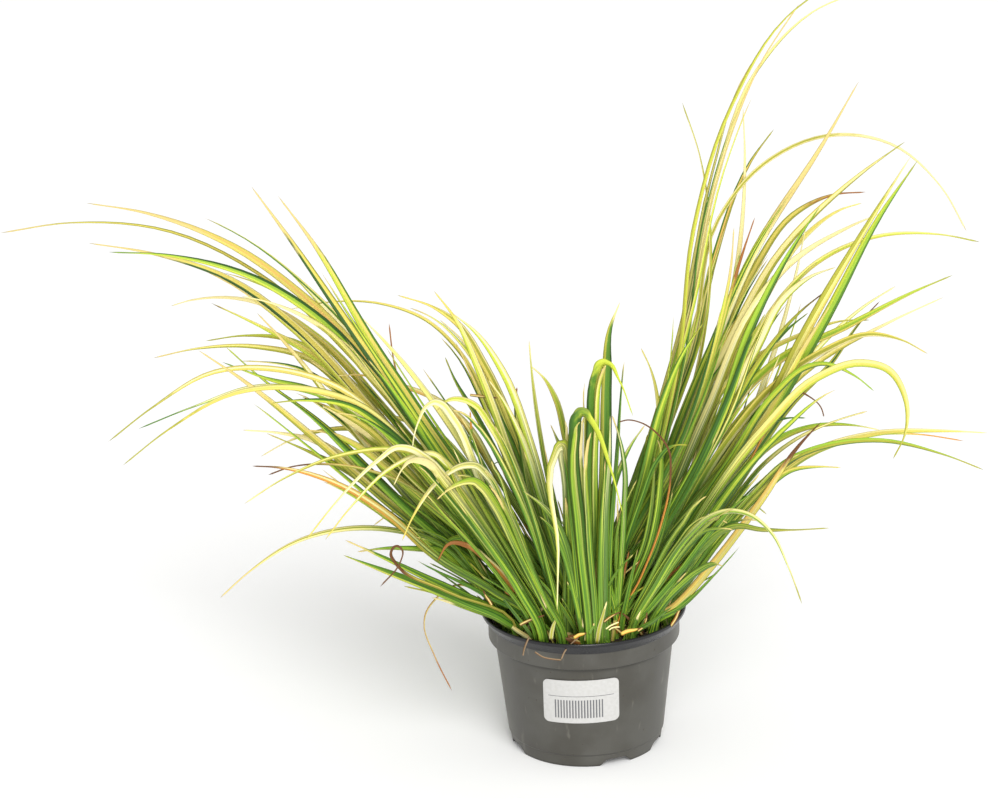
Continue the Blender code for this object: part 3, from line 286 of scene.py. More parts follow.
# Where a leaf's tip is seen in the picture, right and down, and the values of its look
SEEN_LOOKS = (
    (0, 233, OLIVE, GOLD, OLIVE, TAN, 0.95, 0.7), (86, 203, GOLD, APRICOT, GOLD, TAN, 0.82),
    (88, 243, STRAW, GOLD, DEEP, TAN, 0.86), (108, 252, DEEP, FRESH, LIME, GREEN, 0.97),
    (251, 186, OLIVE, GOLD, DEEP, TAN, 0.9), (278, 196, GREEN, GOLD, LIME, TAN, 0.88),
    (171, 306, STRAW, GOLD, OLIVE, BUFF, 0.76), (211, 303, YELLOW, GOLD, LIME, BROWN, 0.97),
    (205, 341, OLIVE, LIME, OLIVE, OLIVE), (153, 358, GOLD, YELLOW, OLIVE),
    (257, 313, STRAW, CREAM, OLIVE, TAN, 0.84), (108, 442, GOLD, CREAM, GOLD, OLIVE, 0.88, 0.78),
    (138, 429, LIME, CREAM, FRESH, GREEN, 0.9, 0.8), (122, 466, OLIVE, YELLOW, GOLD, OLIVE, 0.88, 0.8),
    (222, 362, GREEN, FRESH, LIME, GREEN, 0.97), (226, 347, GREEN, LIME, GREEN, LIME, 0.97),
    (198, 350, STRAW, GOLD, OLIVE, TAN, 0.8), (280, 393, DEEP, GREEN, FRESH, GREEN, 0.97),
    (302, 397, LIME, GOLD, OLIVE, BROWN, 0.92), (360, 316, CREAM, YELLOW, YELLOW, CREAM),
    (389, 323, TAN, GOLD, TAN, RUSSET, 0.88), (242, 430, STRAW, LIME, OLIVE, BUFF, 0.7),
    (266, 433, OLIVE, LIME, OLIVE), (252, 466, APRICOT, BUFF, ORANGE, BROWN, 0.9, 0.94, 0.3),
    (268, 475, APRICOT, TAN, OLIVE, BROWN, 0.82, 0.62, 0.3), (244, 504, LIME, YELLOW, OLIVE, STRAW),
    (306, 540, CREAM, YELLOW, CREAM, GOLD, 0.88), (325, 540, YELLOW, CREAM, LIME, GOLD, 0.88),
    (220, 598, STRAW, OLIVE, STRAW, TAN, 0.86, 0.72), (343, 555, GREEN, FRESH, GOLD, OLIVE, 0.96),
    (345, 540, FRESH, GREEN, LIME, TAN, 0.9),
    (380, 587, RUSSET, APRICOT, OLIVE, BROWN, 0.62, 0.66, 0.3, 0.6),
    (452, 691, TAN, RUSSET, TAN, RUSSET, 0.8, 0.5, 0.5, 0.0), (402, 541, CREAM, YELLOW, CREAM, GOLD, 0.88),
    (411, 455, CREAM, YELLOW, CREAM, CREAM), (436, 412, YELLOW, LIME, YELLOW),
    (397, 295, STRAW, OLIVE, GOLD, GOLD, 0.88), (434, 291, CREAM, YELLOW, LIME, GOLD, 0.88),
    (452, 313, YELLOW, CREAM, LIME), (291, 309, STRAW, GOLD, OLIVE, STRAW, 0.95, 0.7),
    (335, 376, GOLD, STRAW, APRICOT, STRAW), (529, 340, YELLOW, LIME, YELLOW, STRAW),
    (531, 366, YELLOW, LIME, GOLD, STRAW), (517, 387, OLIVE, YELLOW, DEEP, RUSSET, 0.93),
    (523, 491, CREAM, YELLOW, LIME), (557, 612, LIME, YELLOW, CREAM, YELLOW, 0.97, 1.5),
    (633, 416, DEEP, GREEN, OLIVE, LIME, 0.8, 1.15), (620, 302, OLIVE, GREEN, DEEP, STRAW, 0.95, 1.25),
    (623, 515, DEEP, GREEN, DEEP, LIME, 0.72, 1.2),
    (619, 422, RUSSET, ORANGE, RUSSET, BROWN, 0.6, 0.45, 0.6, 0.0), (645, 425, STRAW, FRESH, GREEN),
    (612, 415, GREEN, CREAM, DEEP), (704, 322, GREEN, LIME, FRESH, OLIVE), (641, 348, YELLOW, GOLD, LIME),
    (802, 604, STRAW, FRESH, CREAM, OLIVE, 0.9, 0.8), (752, 493, GREEN, FRESH, GREEN, GREEN),
    (830, 528, OLIVE, GOLD, OLIVE, OLIVE), (821, 422, APRICOT, TAN, GOLD, BROWN, 0.8, 0.94, 0.3, 0.3),
    (984, 470, FRESH, OLIVE, GREEN, OLIVE), (988, 433, STRAW, GOLD, LIME, STRAW),
    (964, 441, YELLOW, GOLD, LIME, ORANGE, 0.86), (893, 459, YELLOW, GOLD, LIME, OLIVE),
    (874, 391, FRESH, LIME, GREEN, FRESH), (824, 417, RUSSET, ORANGE, RUSSET, BROWN, 0.8, 0.6, 0.5, 0.3),
    (806, 418, GREEN, DEEP, GREEN, GREEN), (868, 411, OLIVE, STRAW, OLIVE),
    (880, 430, FRESH, LIME, OLIVE, STRAW), (820, 206, FRESH, GREEN, DEEP, GREEN, 0.97),
    (928, 354, GOLD, OLIVE, STRAW), (944, 297, STRAW, GOLD, OLIVE, BUFF, 0.82, 0.8),
    (953, 275, LIME, FRESH, GOLD, OLIVE), (870, 320, YELLOW, GOLD, LIME, OLIVE, 0.95, 0.8),
    (911, 156, OLIVE, YELLOW, GOLD, BUFF, 0.93, 1.1, 0.4), (918, 160, LIME, FRESH, GREEN, OLIVE, 0.96, 1.1),
    (755, 217, LIME, GOLD, FRESH, RUSSET, 0.8), (734, 227, LIME, GOLD, LIME, TAN, 0.85),
    (830, 288, OLIVE, LIME, GREEN, BROWN, 0.94), (980, 242, YELLOW, LIME, GOLD, OLIVE, 0.95, 0.66),
    (887, 211, STRAW, CREAM, OLIVE, BUFF, 0.75), (826, -14, OLIVE, LIME, GOLD, OLIVE, 0.95, 0.62),
    (799, 4, STRAW, TAN, STRAW, TAN, 0.8, 0.62, 0.4), (866, -11, STRAW, YELLOW, OLIVE, STRAW, 0.95, 0.62),
    (682, 102, STRAW, OLIVE, LIME, OLIVE, 0.95, 0.7), (896, 286, YELLOW, CREAM, LIME, STRAW),
    (880, 301, OLIVE, DEEP, OLIVE, BROWN, 0.94), (806, 226, STRAW, CREAM, STRAW, BUFF),
    (859, 81, LIME, YELLOW, CREAM, TAN, 0.72), (906, 141, GOLD, STRAW, OLIVE, OLIVE, 0.93),
    (866, 192, OLIVE, GOLD, OLIVE, RUSSET, 0.9), (862, 203, YELLOW, GOLD, YELLOW, YELLOW),
    (967, 232, STRAW, OLIVE, STRAW, BUFF, 0.75, 0.58), (774, 129, GREEN, APRICOT, OLIVE, OLIVE),
    (743, 108, LIME, FRESH, GREEN, BUFF, 0.68),
)
SEEN_WITHIN = 6.0

# Small pieces: marks in the picture from the foot to the tip, the first and the last one's place behind
# the pot's axis and the width, in mm, the taper and the look
THREAD = look(FIBRE, FIBRE, BROWN, FIBRE, 0.9, 0.94, 0.2, 0.0)
PALE_THREAD = look(STRAW, CREAM, STRAW, CREAM, 1.1, 0.94, 0.0, 0.0)
STUB = look(APRICOT, GOLD, ORANGE, BROWN, 0.8, 0.94, 0.3, 0.0)
PALE_STUB = look(SHEATH, OLIVE, SHEATH, BUFF, 0.8, 0.94, 0.3, 0.0)
SCRAP = look(RUSSET, TAN, BROWN, BROWN, 0.7, 0.94, 0.6, 0.0)
PATCH = look(RUSSET, ORANGE, STRAW, RUSSET, 0.6, 0.94, 0.3, 0.0)
GOLD_STUB = look(GOLD, YELLOW, GOLD, TAN, 0.8)
SPLIT_END = look(STRAW, APRICOT, ORANGE, ORANGE, 0.5)
STRIPS = (
    (((529, 637), (526, 644), (524, 650), (523, 656)), -46, -53.5, 0.9, 6, THREAD),
    (((578, 638), (571, 644), (565, 651), (561, 660)), -46, -53.5, 0.8, 6, THREAD),
    (((535, 652), (543, 657), (552, 659), (562, 660)), -53.6, -53.8, 0.5, 6, THREAD),
    (((621, 634), (628, 631), (634, 630), (641, 628)), -46, -47, 2.0, 3, STUB),
    (((574, 638), (579, 635), (583, 634), (587, 633)), -47, -47, 1.8, 3, STUB),
    (((590, 634), (591, 630), (593, 627), (594, 623)), -46, -45, 1.6, 3, GOLD_STUB),
    (((597, 643), (599, 630), (603, 615), (607, 601)), -46, -44, 2.4, 3, PALE_STUB),
    (((586, 641), (587, 634), (588, 628), (591, 619)), -45, -44, 2.2, 3, PALE_STUB),
    (((551, 639), (552, 631), (554, 624), (557, 617)), -46, -45, 2.2, 3, PALE_STUB),
    (((606, 629), (610, 626), (614, 624), (619, 622)), -46, -46, 0.6, 8, PALE_THREAD),
    (((609, 630), (612, 628), (616, 627), (620, 627)), -46, -46, 0.5, 8, PALE_THREAD),
    (((646, 615), (652, 606), (657, 598), (662, 588)), -38, -36, 1.6, 3, SCRAP),
    (((604, 622), (609, 618), (614, 615), (620, 612)), -44, -44, 1.4, 3, SCRAP),
    (((492, 605), (489, 600), (486, 596), (483, 590)), -40, -39, 1.6, 3, SCRAP),
    (((520, 625), (528, 621), (536, 618), (545, 615)), -44, -44, 1.6, 3, SCRAP),
    (((638, 631), (643, 627), (646, 620), (647, 612)), -42, -42, 1.3, 5, SCRAP),
    (((671, 626), (676, 618), (679, 611), (683, 604)), -30, -28, 1.8, 3, SCRAP),
    (((468, 446), (471, 436), (471, 425), (470, 411)), -20, -20, 1.6, 3, SPLIT_END),
    (((515, 594), (505, 578), (487, 560), (466, 545), (451, 543), (437, 562)), -33, -38, 3.4, 3, PATCH),
    (((470, 395), (478, 396), (487, 397), (498, 398)), -10, -10, 1.4, 4, SCRAP),
)


def in_picture(point):
    """Where the eye sees a point, in the picture's pixels."""
    ray = point - EYE
    depth = ray.dot(EYE_AHEAD)
    right = PICTURE_SIZE[0] / 2 + PICTURE_FOCAL * ray.dot(EYE_RIGHT) / depth
    down = PICTURE_SIZE[1] / 2 - PICTURE_FOCAL * ray.dot(EYE_UP) / depth
    return Vector((right, down))


def on_sight_line(mark, back):
    """The point that the eye sees at a mark, at a distance behind the pot's axis."""
    across = (mark[0] - PICTURE_SIZE[0] / 2) / PICTURE_FOCAL
    above = (PICTURE_SIZE[1] / 2 - mark[1]) / PICTURE_FOCAL
    ray = EYE_AHEAD + EYE_RIGHT * across + EYE_UP * above
    return EYE + ray * (back - EYE.y) / ray.y


# Materials


class Value:
    """A node's output. Plain arithmetic with it adds nodes to its graph."""

    def __init__(self, graph, socket):
        self.graph = graph
        self.socket = socket

    def __add__(self, other):
        return self.graph.math("ADD", self, other)

    def __sub__(self, other):
        return self.graph.math("SUBTRACT", self, other)

    def __mul__(self, other):
        return self.graph.math("MULTIPLY", self, other)

    def __truediv__(self, other):
        return self.graph.math("DIVIDE", self, other)

    def __lt__(self, other):
        return self.graph.math("LESS_THAN", self, other)

    def __abs__(self):
        return self.graph.math("ABSOLUTE", self)


class Graph:
    """A material's node tree, with short words for the nodes that the materials here use."""

    def __init__(self, name):
        self.material = bpy.data.materials.new(name)
        self.material.use_nodes = True
        self.tree = self.material.node_tree
        self.shader = self.tree.nodes["Principled BSDF"]

    def put(self, socket, value):
        if isinstance(value, Value):
            self.tree.links.new(value.socket, socket)
        elif isinstance(value, tuple) and len(socket.default_value) == 4:
            socket.default_value = (*value, 1)
        else:
            socket.default_value = value

    def set(self, **values):
        for name, value in values.items():
            self.put(self.shader.inputs[name.replace("_", " ")], value)

    def node(self, kind, inputs, output=0, **settings):
        """One output of a new node whose inputs take values or numbers."""
        made = self.tree.nodes.new(f"ShaderNode{kind}")
        for name, value in settings.items():
            setattr(made, name, value)
        for name, value in inputs.items():
            self.put(made.inputs[name], value)
        return Value(self, made.outputs[output])

    def attribute(self, name, output="Vector"):
        return self.node("Attribute", {}, output, attribute_name=name)

    def math(self, operation, a, b=0.0):
        return self.node("Math", {0: a, 1: b}, operation=operation)

    def vector(self, x, y, z):
        return self.node("CombineXYZ", {"X": x, "Y": y, "Z": z})

    def parts(self, vector):
        """The three parts of a vector."""
        outputs = self.node("SeparateXYZ", {"Vector": vector}).socket.node.outputs
        return [Value(self, output) for output in outputs]

    def ease(self, value, low, high, to_low=0.0, to_high=1.0):
        """A value's smooth way from low to high, laid on the way between two others."""
        inputs = {"Value": value, "From Min": low, "From Max": high, "To Min": to_low, "To Max": to_high}
        return self.node("MapRange", inputs, interpolation_type="SMOOTHSTEP")

    def mix(self, factor, a, b, blend="MIX"):
        inputs = {"Factor": factor, 6: a, 7: b}
        return self.node("Mix", inputs, 2, data_type="RGBA", blend_type=blend)

    def shade(self, colour, factor):
        """A colour made lighter or darker by a factor that varies over the surface."""
        return self.mix(1.0, colour, self.vector(factor, factor, factor), "MULTIPLY")

    def noise(self, vector, scale, detail=2.0):
        return self.node("TexNoise", {"Vector": vector, "Scale": scale, "Detail": detail})

    def bump(self, height, strength, distance):
        inputs = {"Height": height, "Strength": strength, "Distance": distance}
        self.set(Normal=self.node("Bump", inputs))


def leaf_material():
    """Three long stripes of different colour, fine veins, a greener root, and a dry, spotted tip."""
    graph = Graph("striped_leaf")
    across, along, far = graph.parts(graph.attribute("leaf_place"))
    first, second, seed = graph.parts(graph.attribute("leaf_splits"))
    dry, spots, rooting = graph.parts(graph.attribute("leaf_ages"))
    upper, middle, lower, end = [graph.attribute(f"{part}_colour", "Color") for part in LEAF_PARTS]
    drift = graph.noise(graph.vector(far * 14.0, seed, 0.0), 1.0, 1.0)
    place = across + (drift - 0.5) * STRIPE_DRIFT
    upper_share = graph.ease(place - second, -STRIPE_BLUR, STRIPE_BLUR)
    middle_share = graph.ease(place - first, -STRIPE_BLUR, STRIPE_BLUR)
    colour = graph.mix(upper_share, graph.mix(middle_share, lower, middle), upper)
    streak = graph.noise(graph.vector(across * 3.4, far * 7.0, seed), 1.5)
    green = graph.mix(graph.ease(streak, 0.4, 0.48), DEEP, GREEN)
    green = graph.mix(graph.ease(streak, 0.53, 0.62), green, FRESH)
    green = graph.mix(graph.ease(streak, 0.65, 0.72), green, LIME)
    root = graph.ease(far + (streak - 0.5) * 0.16, *ROOT_FADE)
    colour = graph.mix(root * rooting, colour, green)
    veins = graph.noise(graph.vector(across * 7.0, far * 12.0, seed), 1.6)
    colour = graph.shade(colour, graph.ease(veins, 0.3, 0.7, *VEIN_SHADE))
    rim = graph.ease(abs(across), 0.8, 0.98)
    colour = graph.mix(rim * RIM_SHARE, colour, OLIVE)
    blotch = graph.noise(graph.vector(across, far * 160.0, seed), 1.0)
    drying = graph.ease(along + (blotch - 0.5) * 0.14 - dry, -0.03, 0.05)
    colour = graph.mix(drying, colour, end)
    speckle = graph.noise(graph.vector(across * 3.0, far * 600.0, seed), 1.0, 1.0)
    colour = graph.mix(graph.ease(speckle, 0.68, 0.76) * spots, colour, RUSSET)
    roughness = graph.ease(veins, 0.2, 0.8, 0.42, 0.6)
    graph.set(Base_Color=colour, Roughness=roughness, Specular_IOR_Level=0.28)
    graph.bump(veins, 0.3, 0.2 * MM)
    return graph.material


def pot_material():
    """Satin warm grey plastic with painted shade under its steps, painted warm light on its sides, and a
    black, shinier lip and inside.
    """
    graph = Graph("pot_plastic")
    position = graph.node("NewGeometry", {}, "Position")
    normal = graph.node("NewGeometry", {}, "Normal")
    x, y, z = graph.parts(position)
    outward = graph.node("VectorMath", {0: graph.vector(x, y, 0.0)}, operation="NORMALIZE")
    facing = graph.node("VectorMath", {0: outward, 1: normal}, "Value", operation="DOT_PRODUCT")
    cloud = graph.noise(position, 42.0, 4.0)
    dust = graph.noise(graph.vector(x, y, z * 0.25), 260.0, 4.0)
    speck = graph.noise(position, 420.0, 1.0)
    # Painted warm light: the pot turns olive towards its sides and back, away from the front.
    side = graph.ease(graph.parts(outward)[1], -0.55, -0.05)
    # Painted shadow: a dark band on the body just under the collar's edge, where the collar hides it.
    under_collar = graph.ease(z, BODY_TOP - 2.2 * MM, BODY_TOP - 0.5 * MM)
    painted_collar_shadow = under_collar * graph.ease(z, COLLAR_BOTTOM + 0.3 * MM, COLLAR_BOTTOM - 0.2 * MM)
    # Painted shade: a dark line in the small step at the foot line.
    painted_foot_step_shade = graph.ease(abs(z - (FOOT_LINE - 0.3 * MM)), 0.7 * MM, 0.2 * MM)
    grey = graph.mix(graph.ease(cloud, 0.3, 0.7), POT_DARK, POT_LIGHT)
    grey = graph.mix(side * 0.5, grey, POT_PAINTED_SIDE_LIGHT)
    grey = graph.mix(graph.ease(dust, 0.62, 0.78) * 0.22, grey, POT_DUST)
    grey = graph.mix(graph.ease(speck, 0.74, 0.8) * 0.8, grey, POT_DIRT)
    grey = graph.mix(painted_collar_shadow * 0.75, grey, POT_PAINTED_SHADE)
    grey = graph.mix(painted_foot_step_shade * 0.6, grey, POT_PAINTED_SHADE)
    grey = graph.mix(graph.ease(z, 1.6 * MM, 0.1 * MM) * 0.8, grey, POT_FOOT)
    lip = graph.ease(z, COLLAR_TOP - 0.3 * MM, COLLAR_TOP + 0.5 * MM)
    colour = graph.mix(lip, grey, POT_BLACK)
    colour = graph.mix(graph.ease(facing, 0.1, 0.4), POT_BLACK, colour)
    roughness = graph.ease(cloud, 0.3, 0.7, 0.34, 0.46) - lip * 0.14
    graph.set(Base_Color=colour, Roughness=roughness, Specular_IOR_Level=0.4)
    ripple = graph.noise(graph.vector(x, y, z * 0.3), 900.0)
    graph.bump(ripple * 0.3 + dust, 0.22, 0.1 * MM)
    return graph.material


def peat_material():
    """Damp peat: dark brown, with fibres and pale grains."""
    graph = Graph("peat")
    place = graph.node("NewGeometry", {}, "Position")
    clods = graph.noise(place, 190.0, 6.0)
    fibres = graph.noise(graph.node("Mapping", {"Vector": place, "Scale": (900, 240, 500)}), 1.0, 3.0)
    grains = graph.noise(place, 700.0, 0.0)
    colour = graph.mix(graph.ease(clods, 0.3, 0.7), PEAT_DARK, PEAT_BROWN)
    colour = graph.mix(graph.ease(fibres, 0.66, 0.74), colour, PEAT_FIBRE)
    colour = graph.mix(graph.ease(grains, 0.79, 0.83), colour, PEAT_GRAIN)
    graph.set(Base_Color=colour, Roughness=graph.ease(clods, 0.3, 0.7, 0.7, 0.95))
    graph.bump(clods, 0.9, 1.2 * MM)
    return graph.material


def label_material():
    """White coated paper with one thin rule and a block of plain bars."""
    graph = Graph("label_paper")
    x, _, z = graph.parts(graph.attribute("label_place"))
    paper = graph.noise(graph.vector(x, z, 0.0), 600.0, 3.0)
    colour = graph.mix(graph.ease(paper, 0.3, 0.7), PAPER_SHADE, PAPER)
    rule = (abs(z - LABEL_RULE) < LABEL_RULE_THICK / 2) * (abs(x) < LABEL_RULE_HALF)
    beside = abs(x - LABEL_BARS_MIDDLE[0]) < LABEL_BARS_HALF[0]
    block = beside * (abs(z - LABEL_BARS_MIDDLE[1]) < LABEL_BARS_HALF[1])
    bars = block * (graph.math("FRACT", x / LABEL_BAR_PITCH) < 0.5)
    colour = graph.mix(rule, colour, INK)
    colour = graph.mix(bars, colour, INK)
    graph.set(Base_Color=colour, Roughness=0.38, Specular_IOR_Level=0.4)
    return graph.material


def floor_material():
    """A plain matt white."""
    graph = Graph("pale_floor")
    graph.set(Base_Color=FLOOR_WHITE, Roughness=0.8, Specular_IOR_Level=0.1)
    return graph.material


# Tracing the leaves in the frame


def welded(obj):
    """The node's corners, each once, and its faces over them."""
    bm = bmesh.new()
    bm.from_mesh(obj.data)
    bmesh.ops.remove_doubles(bm, verts=bm.verts, dist=TRACE_WELD)
    bm.verts.ensure_lookup_table()
    corners = [obj.matrix_world @ vert.co for vert in bm.verts]
    faces = [tuple(vert.index for vert in face.verts) for face in bm.faces]
    bm.free()
    return corners, faces


def neighbours_of(corners, faces):
    near = [set() for _ in corners]
    for face in faces:
        for a, b in zip(face, face[1:] + face[:1]):
            near[a].add(b)
            near[b].add(a)
    return near


def is_ring(ring, near):
    return len(ring) == 3 and all(ring - {corner} <= near[corner] for corner in ring)


def rings_below(tip, near):
    """The blade's rings of three corners from its tip down to its stem base."""
    rings = []
    seen = {tip}
    ring = near[tip]
    while is_ring(ring, near):
        rings.append(ring)
        seen |= ring
        ring = set().union(*(near[corner] for corner in ring)) - seen
    return rings


Station = namedtuple("Station", "middle edge under")


def station_of(ring, corners, above):
    """A ring's middle, the half width to its edge on the same side as above, and the way to its keel."""
    points = [corners[corner] for corner in ring]
    pairs = [(points[i], points[(i + 1) % 3], points[(i + 2) % 3]) for i in range(3)]
    one, other, keel = max(pairs, key=lambda pair: (pair[0] - pair[1]).length)
    middle = (one + other) / 2
    edge = (one - other) / 2
    if above and edge.dot(above.edge) < 0:
        edge = -edge
    return Station(middle, edge, (keel - middle).normalized())


def cad_width_share(v):
    """A blade's width along it in the frame."""
    return min(1.0, CAD_BASE_SHARE + CAD_WIDENING * v) * (1 - v ** CAD_TAPER)


Traced = namedtuple("Traced", "stations tip width")


def traced_leaves(obj):
    """The leaves of one shoot, each with its stations from the lowest up, its tip and its full width."""
    corners, faces = welded(obj)
    near = neighbours_of(corners, faces)
    leaves = []
    for tip in range(len(near)):
        rings = rings_below(tip, near)
        if len(rings) < LEAST_RINGS:
            continue
        stations = []
        for ring in rings:
            stations.append(station_of(ring, corners, stations[-1] if stations else None))
        stations.reverse()
        count = len(stations) + 1 - NEEDLE_SHARE
        full = [2 * s.edge.length / cad_width_share((i + 1) / count) for i, s in enumerate(stations)]
        leaves.append(Traced(stations, corners[tip], sum(full) / len(full)))
    leaves.sort(key=lambda found: found.stations[0].middle.y)
    return leaves


def stem_point(obj):
    """The lowest point of a shoot inside the pot: a leaf can hang lower outside it."""
    inside = [vert.co for vert in obj.data.vertices if vert.co.xy.length < COLLAR_RADIUS]
    return min(inside, key=lambda point: point.z).copy()


# Blades


Blade = namedtuple("Blade", "points edges unders shares width taper look")


def tangents_of(points):
    """Directions at each point of a line, weighted towards the nearer neighbour."""
    found = [points[1] - points[0]]
    for before, here, after in zip(points, points[1:], points[2:]):
        near = (here - before).length
        far = (after - here).length
        found.append((here - before) * far / near + (after - here) * near / far)
    found.append(points[-1] - points[-2])
    return [direction.normalized() for direction in found]


def smooth_line(points, steps):
    tangents = tangents_of(points)
    line = [points[0]]
    for i in range(len(points) - 1):
        handle = (points[i + 1] - points[i]).length / 3
        start = points[i] + tangents[i] * handle
        end = points[i + 1] - tangents[i + 1] * handle
        line += interpolate_bezier(points[i], start, end, points[i + 1], steps + 1)[1:]
    return line


def blade_of(traced, root, look):
    """A traced leaf as a fine line with an edge direction and a keel direction at each point."""
    first = traced.stations[0]
    knots = [root - UP * ROOT_DEPTH, root] + [station.middle for station in traced.stations] + [traced.tip]
    edges = [first.edge.normalized()] * 2 + [station.edge.normalized() for station in traced.stations]
    unders = [first.under] * 2 + [station.under for station in traced.stations]
    edges.append(edges[-1])
    unders.append(unders[-1])
    count = len(traced.stations) + 1 - NEEDLE_SHARE
    shares = [0.0] + [min(1.0, i / count) for i in range(len(knots) - 1)]
    line = smooth_line(knots, STATIONS_A_RING)
    fine_edges = []
    fine_unders = []
    fine_shares = []
    for i in range(len(line)):
        knot = min(i // STATIONS_A_RING, len(knots) - 2)
        part = i / STATIONS_A_RING - knot
        fine_edges.append(edges[knot].lerp(edges[knot + 1], part).normalized())
        fine_unders.append(unders[knot].lerp(unders[knot + 1], part).normalized())
        fine_shares.append(shares[knot] + (shares[knot + 1] - shares[knot]) * part)
    return Blade(line, fine_edges, fine_unders, fine_shares, traced.width * look.girth, TAPER, look)


def width_share(v, taper):
    """A fine blade's width along it: nearly full from its sheath on, round-shouldered before its tip."""
    return min(1.0, BASE_SHARE + WIDENING * v) * (1 - v ** taper)


class LeafMesh:
    """Gathers blades into one mesh with the attributes that the leaf material reads."""

    def __init__(self, chance):
        self.chance = chance
        self.corners = []
        self.faces = []
        self.vectors = {"leaf_place": [], "leaf_splits": [], "leaf_ages": []}
        self.colours = {f"{part}_colour": [] for part in LEAF_PARTS}

    def add_corner(self, point, place, splits, ages, look):
        self.corners.append(point)
        for kept, value in zip(self.vectors.values(), (place, splits, ages)):
            kept.append(value)
        for kept, value in zip(self.colours.values(), look):
            kept.append(value)

    def add(self, blade):
        """A closed thin blade, slightly folded along its middle, with a needle tip."""
        chance = self.chance
        look = blade.look
        runs = [0.0]
        for a, b in zip(blade.points, blade.points[1:]):
            runs.append(runs[-1] + (b - a).length)
        first = chance.uniform(*FIRST_STRIPE)
        splits = (first, first + chance.uniform(*STRIPE_WIDTH), chance.uniform(0, 100))
        ages = (look.dry + chance.uniform(-0.03, 0.02), look.spots, look.rooting)
        fold = chance.uniform(*BLADE_FOLD)
        twist = math.radians(chance.uniform(*BLADE_TWIST))
        ripple_seed = chance.uniform(0, 50)
        start = len(self.corners)
        last = len(blade.points) - 1
        for i in range(last):
            share = blade.shares[i]
            along = (blade.points[i + 1] - blade.points[max(0, i - 1)]).normalized()
            edge = (blade.edges[i] - along * blade.edges[i].dot(along)).normalized()
            under = (blade.unders[i] - along * blade.unders[i].dot(along)).normalized()
            turn = Matrix.Rotation(twist * share * share, 3, along)
            edge = turn @ edge
            under = turn @ under
            ripple = 1 + RIPPLE * noise.noise(Vector((ripple_seed, runs[i] * RIPPLES_A_METRE, 0)))
            half = max(LEAST_HALF_WIDTH, width_share(share, blade.taper) * blade.width / 2 * ripple)
            thick = min(BLADE_THICKNESS * (1 - 0.55 * share), half)
            for places, side in ((UPPER_PLACES, -1), (LOWER_PLACES, 1)):
                for place in places:
                    sunk = fold * half * (1 - abs(place))
                    deep = (thick * (1 - place * place) + EDGE_THICKNESS) / 2
                    point = blade.points[i] + edge * half * place + under * (sunk + side * deep)
                    self.add_corner(point, (place, runs[i] / runs[-1], runs[i]), splits, ages, look)
        self.add_corner(blade.points[-1], (0.0, 1.0, runs[-1]), splits, ages, look)
        self.add_faces(start, last)

    def add_faces(self, start, rings):
        size = len(UPPER_PLACES) + len(LOWER_PLACES)
        self.faces.append(tuple(reversed(range(start, start + size))))
        for ring in range(rings - 1):
            low = start + ring * size
            for i in range(size):
                beside = (i + 1) % size
                self.faces.append((low + i, low + beside, low + size + beside, low + size + i))
        low = start + (rings - 1) * size
        tip = low + size
        for i in range(size):
            self.faces.append((low + i, low + (i + 1) % size, tip))

    def build(self, name, surface):
        mesh = bpy.data.meshes.new(name)
        mesh.from_pydata(self.corners, [], self.faces)
        for key, values in self.vectors.items():
            stored = mesh.attributes.new(key, "FLOAT_VECTOR", "POINT")
            stored.data.foreach_set("vector", [part for value in values for part in value])
        for key, values in self.colours.items():
            stored = mesh.attributes.new(key, "FLOAT_COLOR", "POINT")
            stored.data.foreach_set("color", [part for value in values for part in (*value, 1.0)])
        turned_out = bmesh.new()
        turned_out.from_mesh(mesh)
        bmesh.ops.recalc_face_normals(turned_out, faces=turned_out.faces)
        turned_out.to_mesh(mesh)
        turned_out.free()
        mesh.shade_smooth()
        return link(name, mesh, surface)


def upper_first(traced):
    """The leaf with its edges turned so that the positive one is the picture's upper one, or the left one."""
    middle = traced.stations[len(traced.stations) // 2]
    step = in_picture(middle.middle + middle.edge) - in_picture(middle.middle - middle.edge)
    if step.y + 0.2 * step.x > 0:
        turned_over = [Station(s.middle, -s.edge, s.under) for s in traced.stations]
        return Traced(turned_over, traced.tip, traced.width)
    return traced


def look_of(traced, chance):
    """The look of the nearest marked tip, or one of the usual ones."""
    place = in_picture(traced.tip)
    seen = min(SEEN_LOOKS, key=lambda row: (Vector(row[:2]) - place).length)
    if (Vector(seen[:2]) - place).length < SEEN_WITHIN:
        return look(*seen[2:])
    return chance.choice(USUAL_LOOKS)


def lean_of(traced):
    """How far a leaf leans to the right on its way up."""
    run = traced.tip - traced.stations[0].middle
    return run.x / max(run.length, 1 * MM)


def part_of(blade, share, shift, drift, width, taper, look):
    """A shorter blade that follows another from its root and drifts off it."""
    count = max(6, round(len(blade.points) * share))
    points = []
    shares = []
    for i in range(count):
        part = i / (count - 1)
        points.append(blade.points[i] + shift + drift * part ** 1.5)
        shares.append(part)
    return Blade(points, blade.edges[:count], blade.unders[:count], shares, width, taper, look)


def follower_of(blade, chance):
    """A thinner, shorter leaf that grows beside another and stops before the turn of one that arches."""
    arches = blade.points[-1].z < max(point.z for point in blade.points) - ARCH_DROP
    share = chance.uniform(*(ARCHING_SHARES if arches else FOLLOWER_SHARES))
    lower = -7 if blade.points[-1].z > LOW_TIP else 2
    drift = Vector((chance.uniform(-9, 9), chance.uniform(-12, 12), chance.uniform(lower, 5))) * MM
    shift = Vector((chance.uniform(-1.8, 1.8), chance.uniform(-2.6, 2.6), 0)) * MM
    width = min(blade.width, chance.uniform(*FOLLOWER_WIDTH) * MM)
    return part_of(blade, share, shift, drift, width, TAPER, chance.choice(INNER_LOOKS))


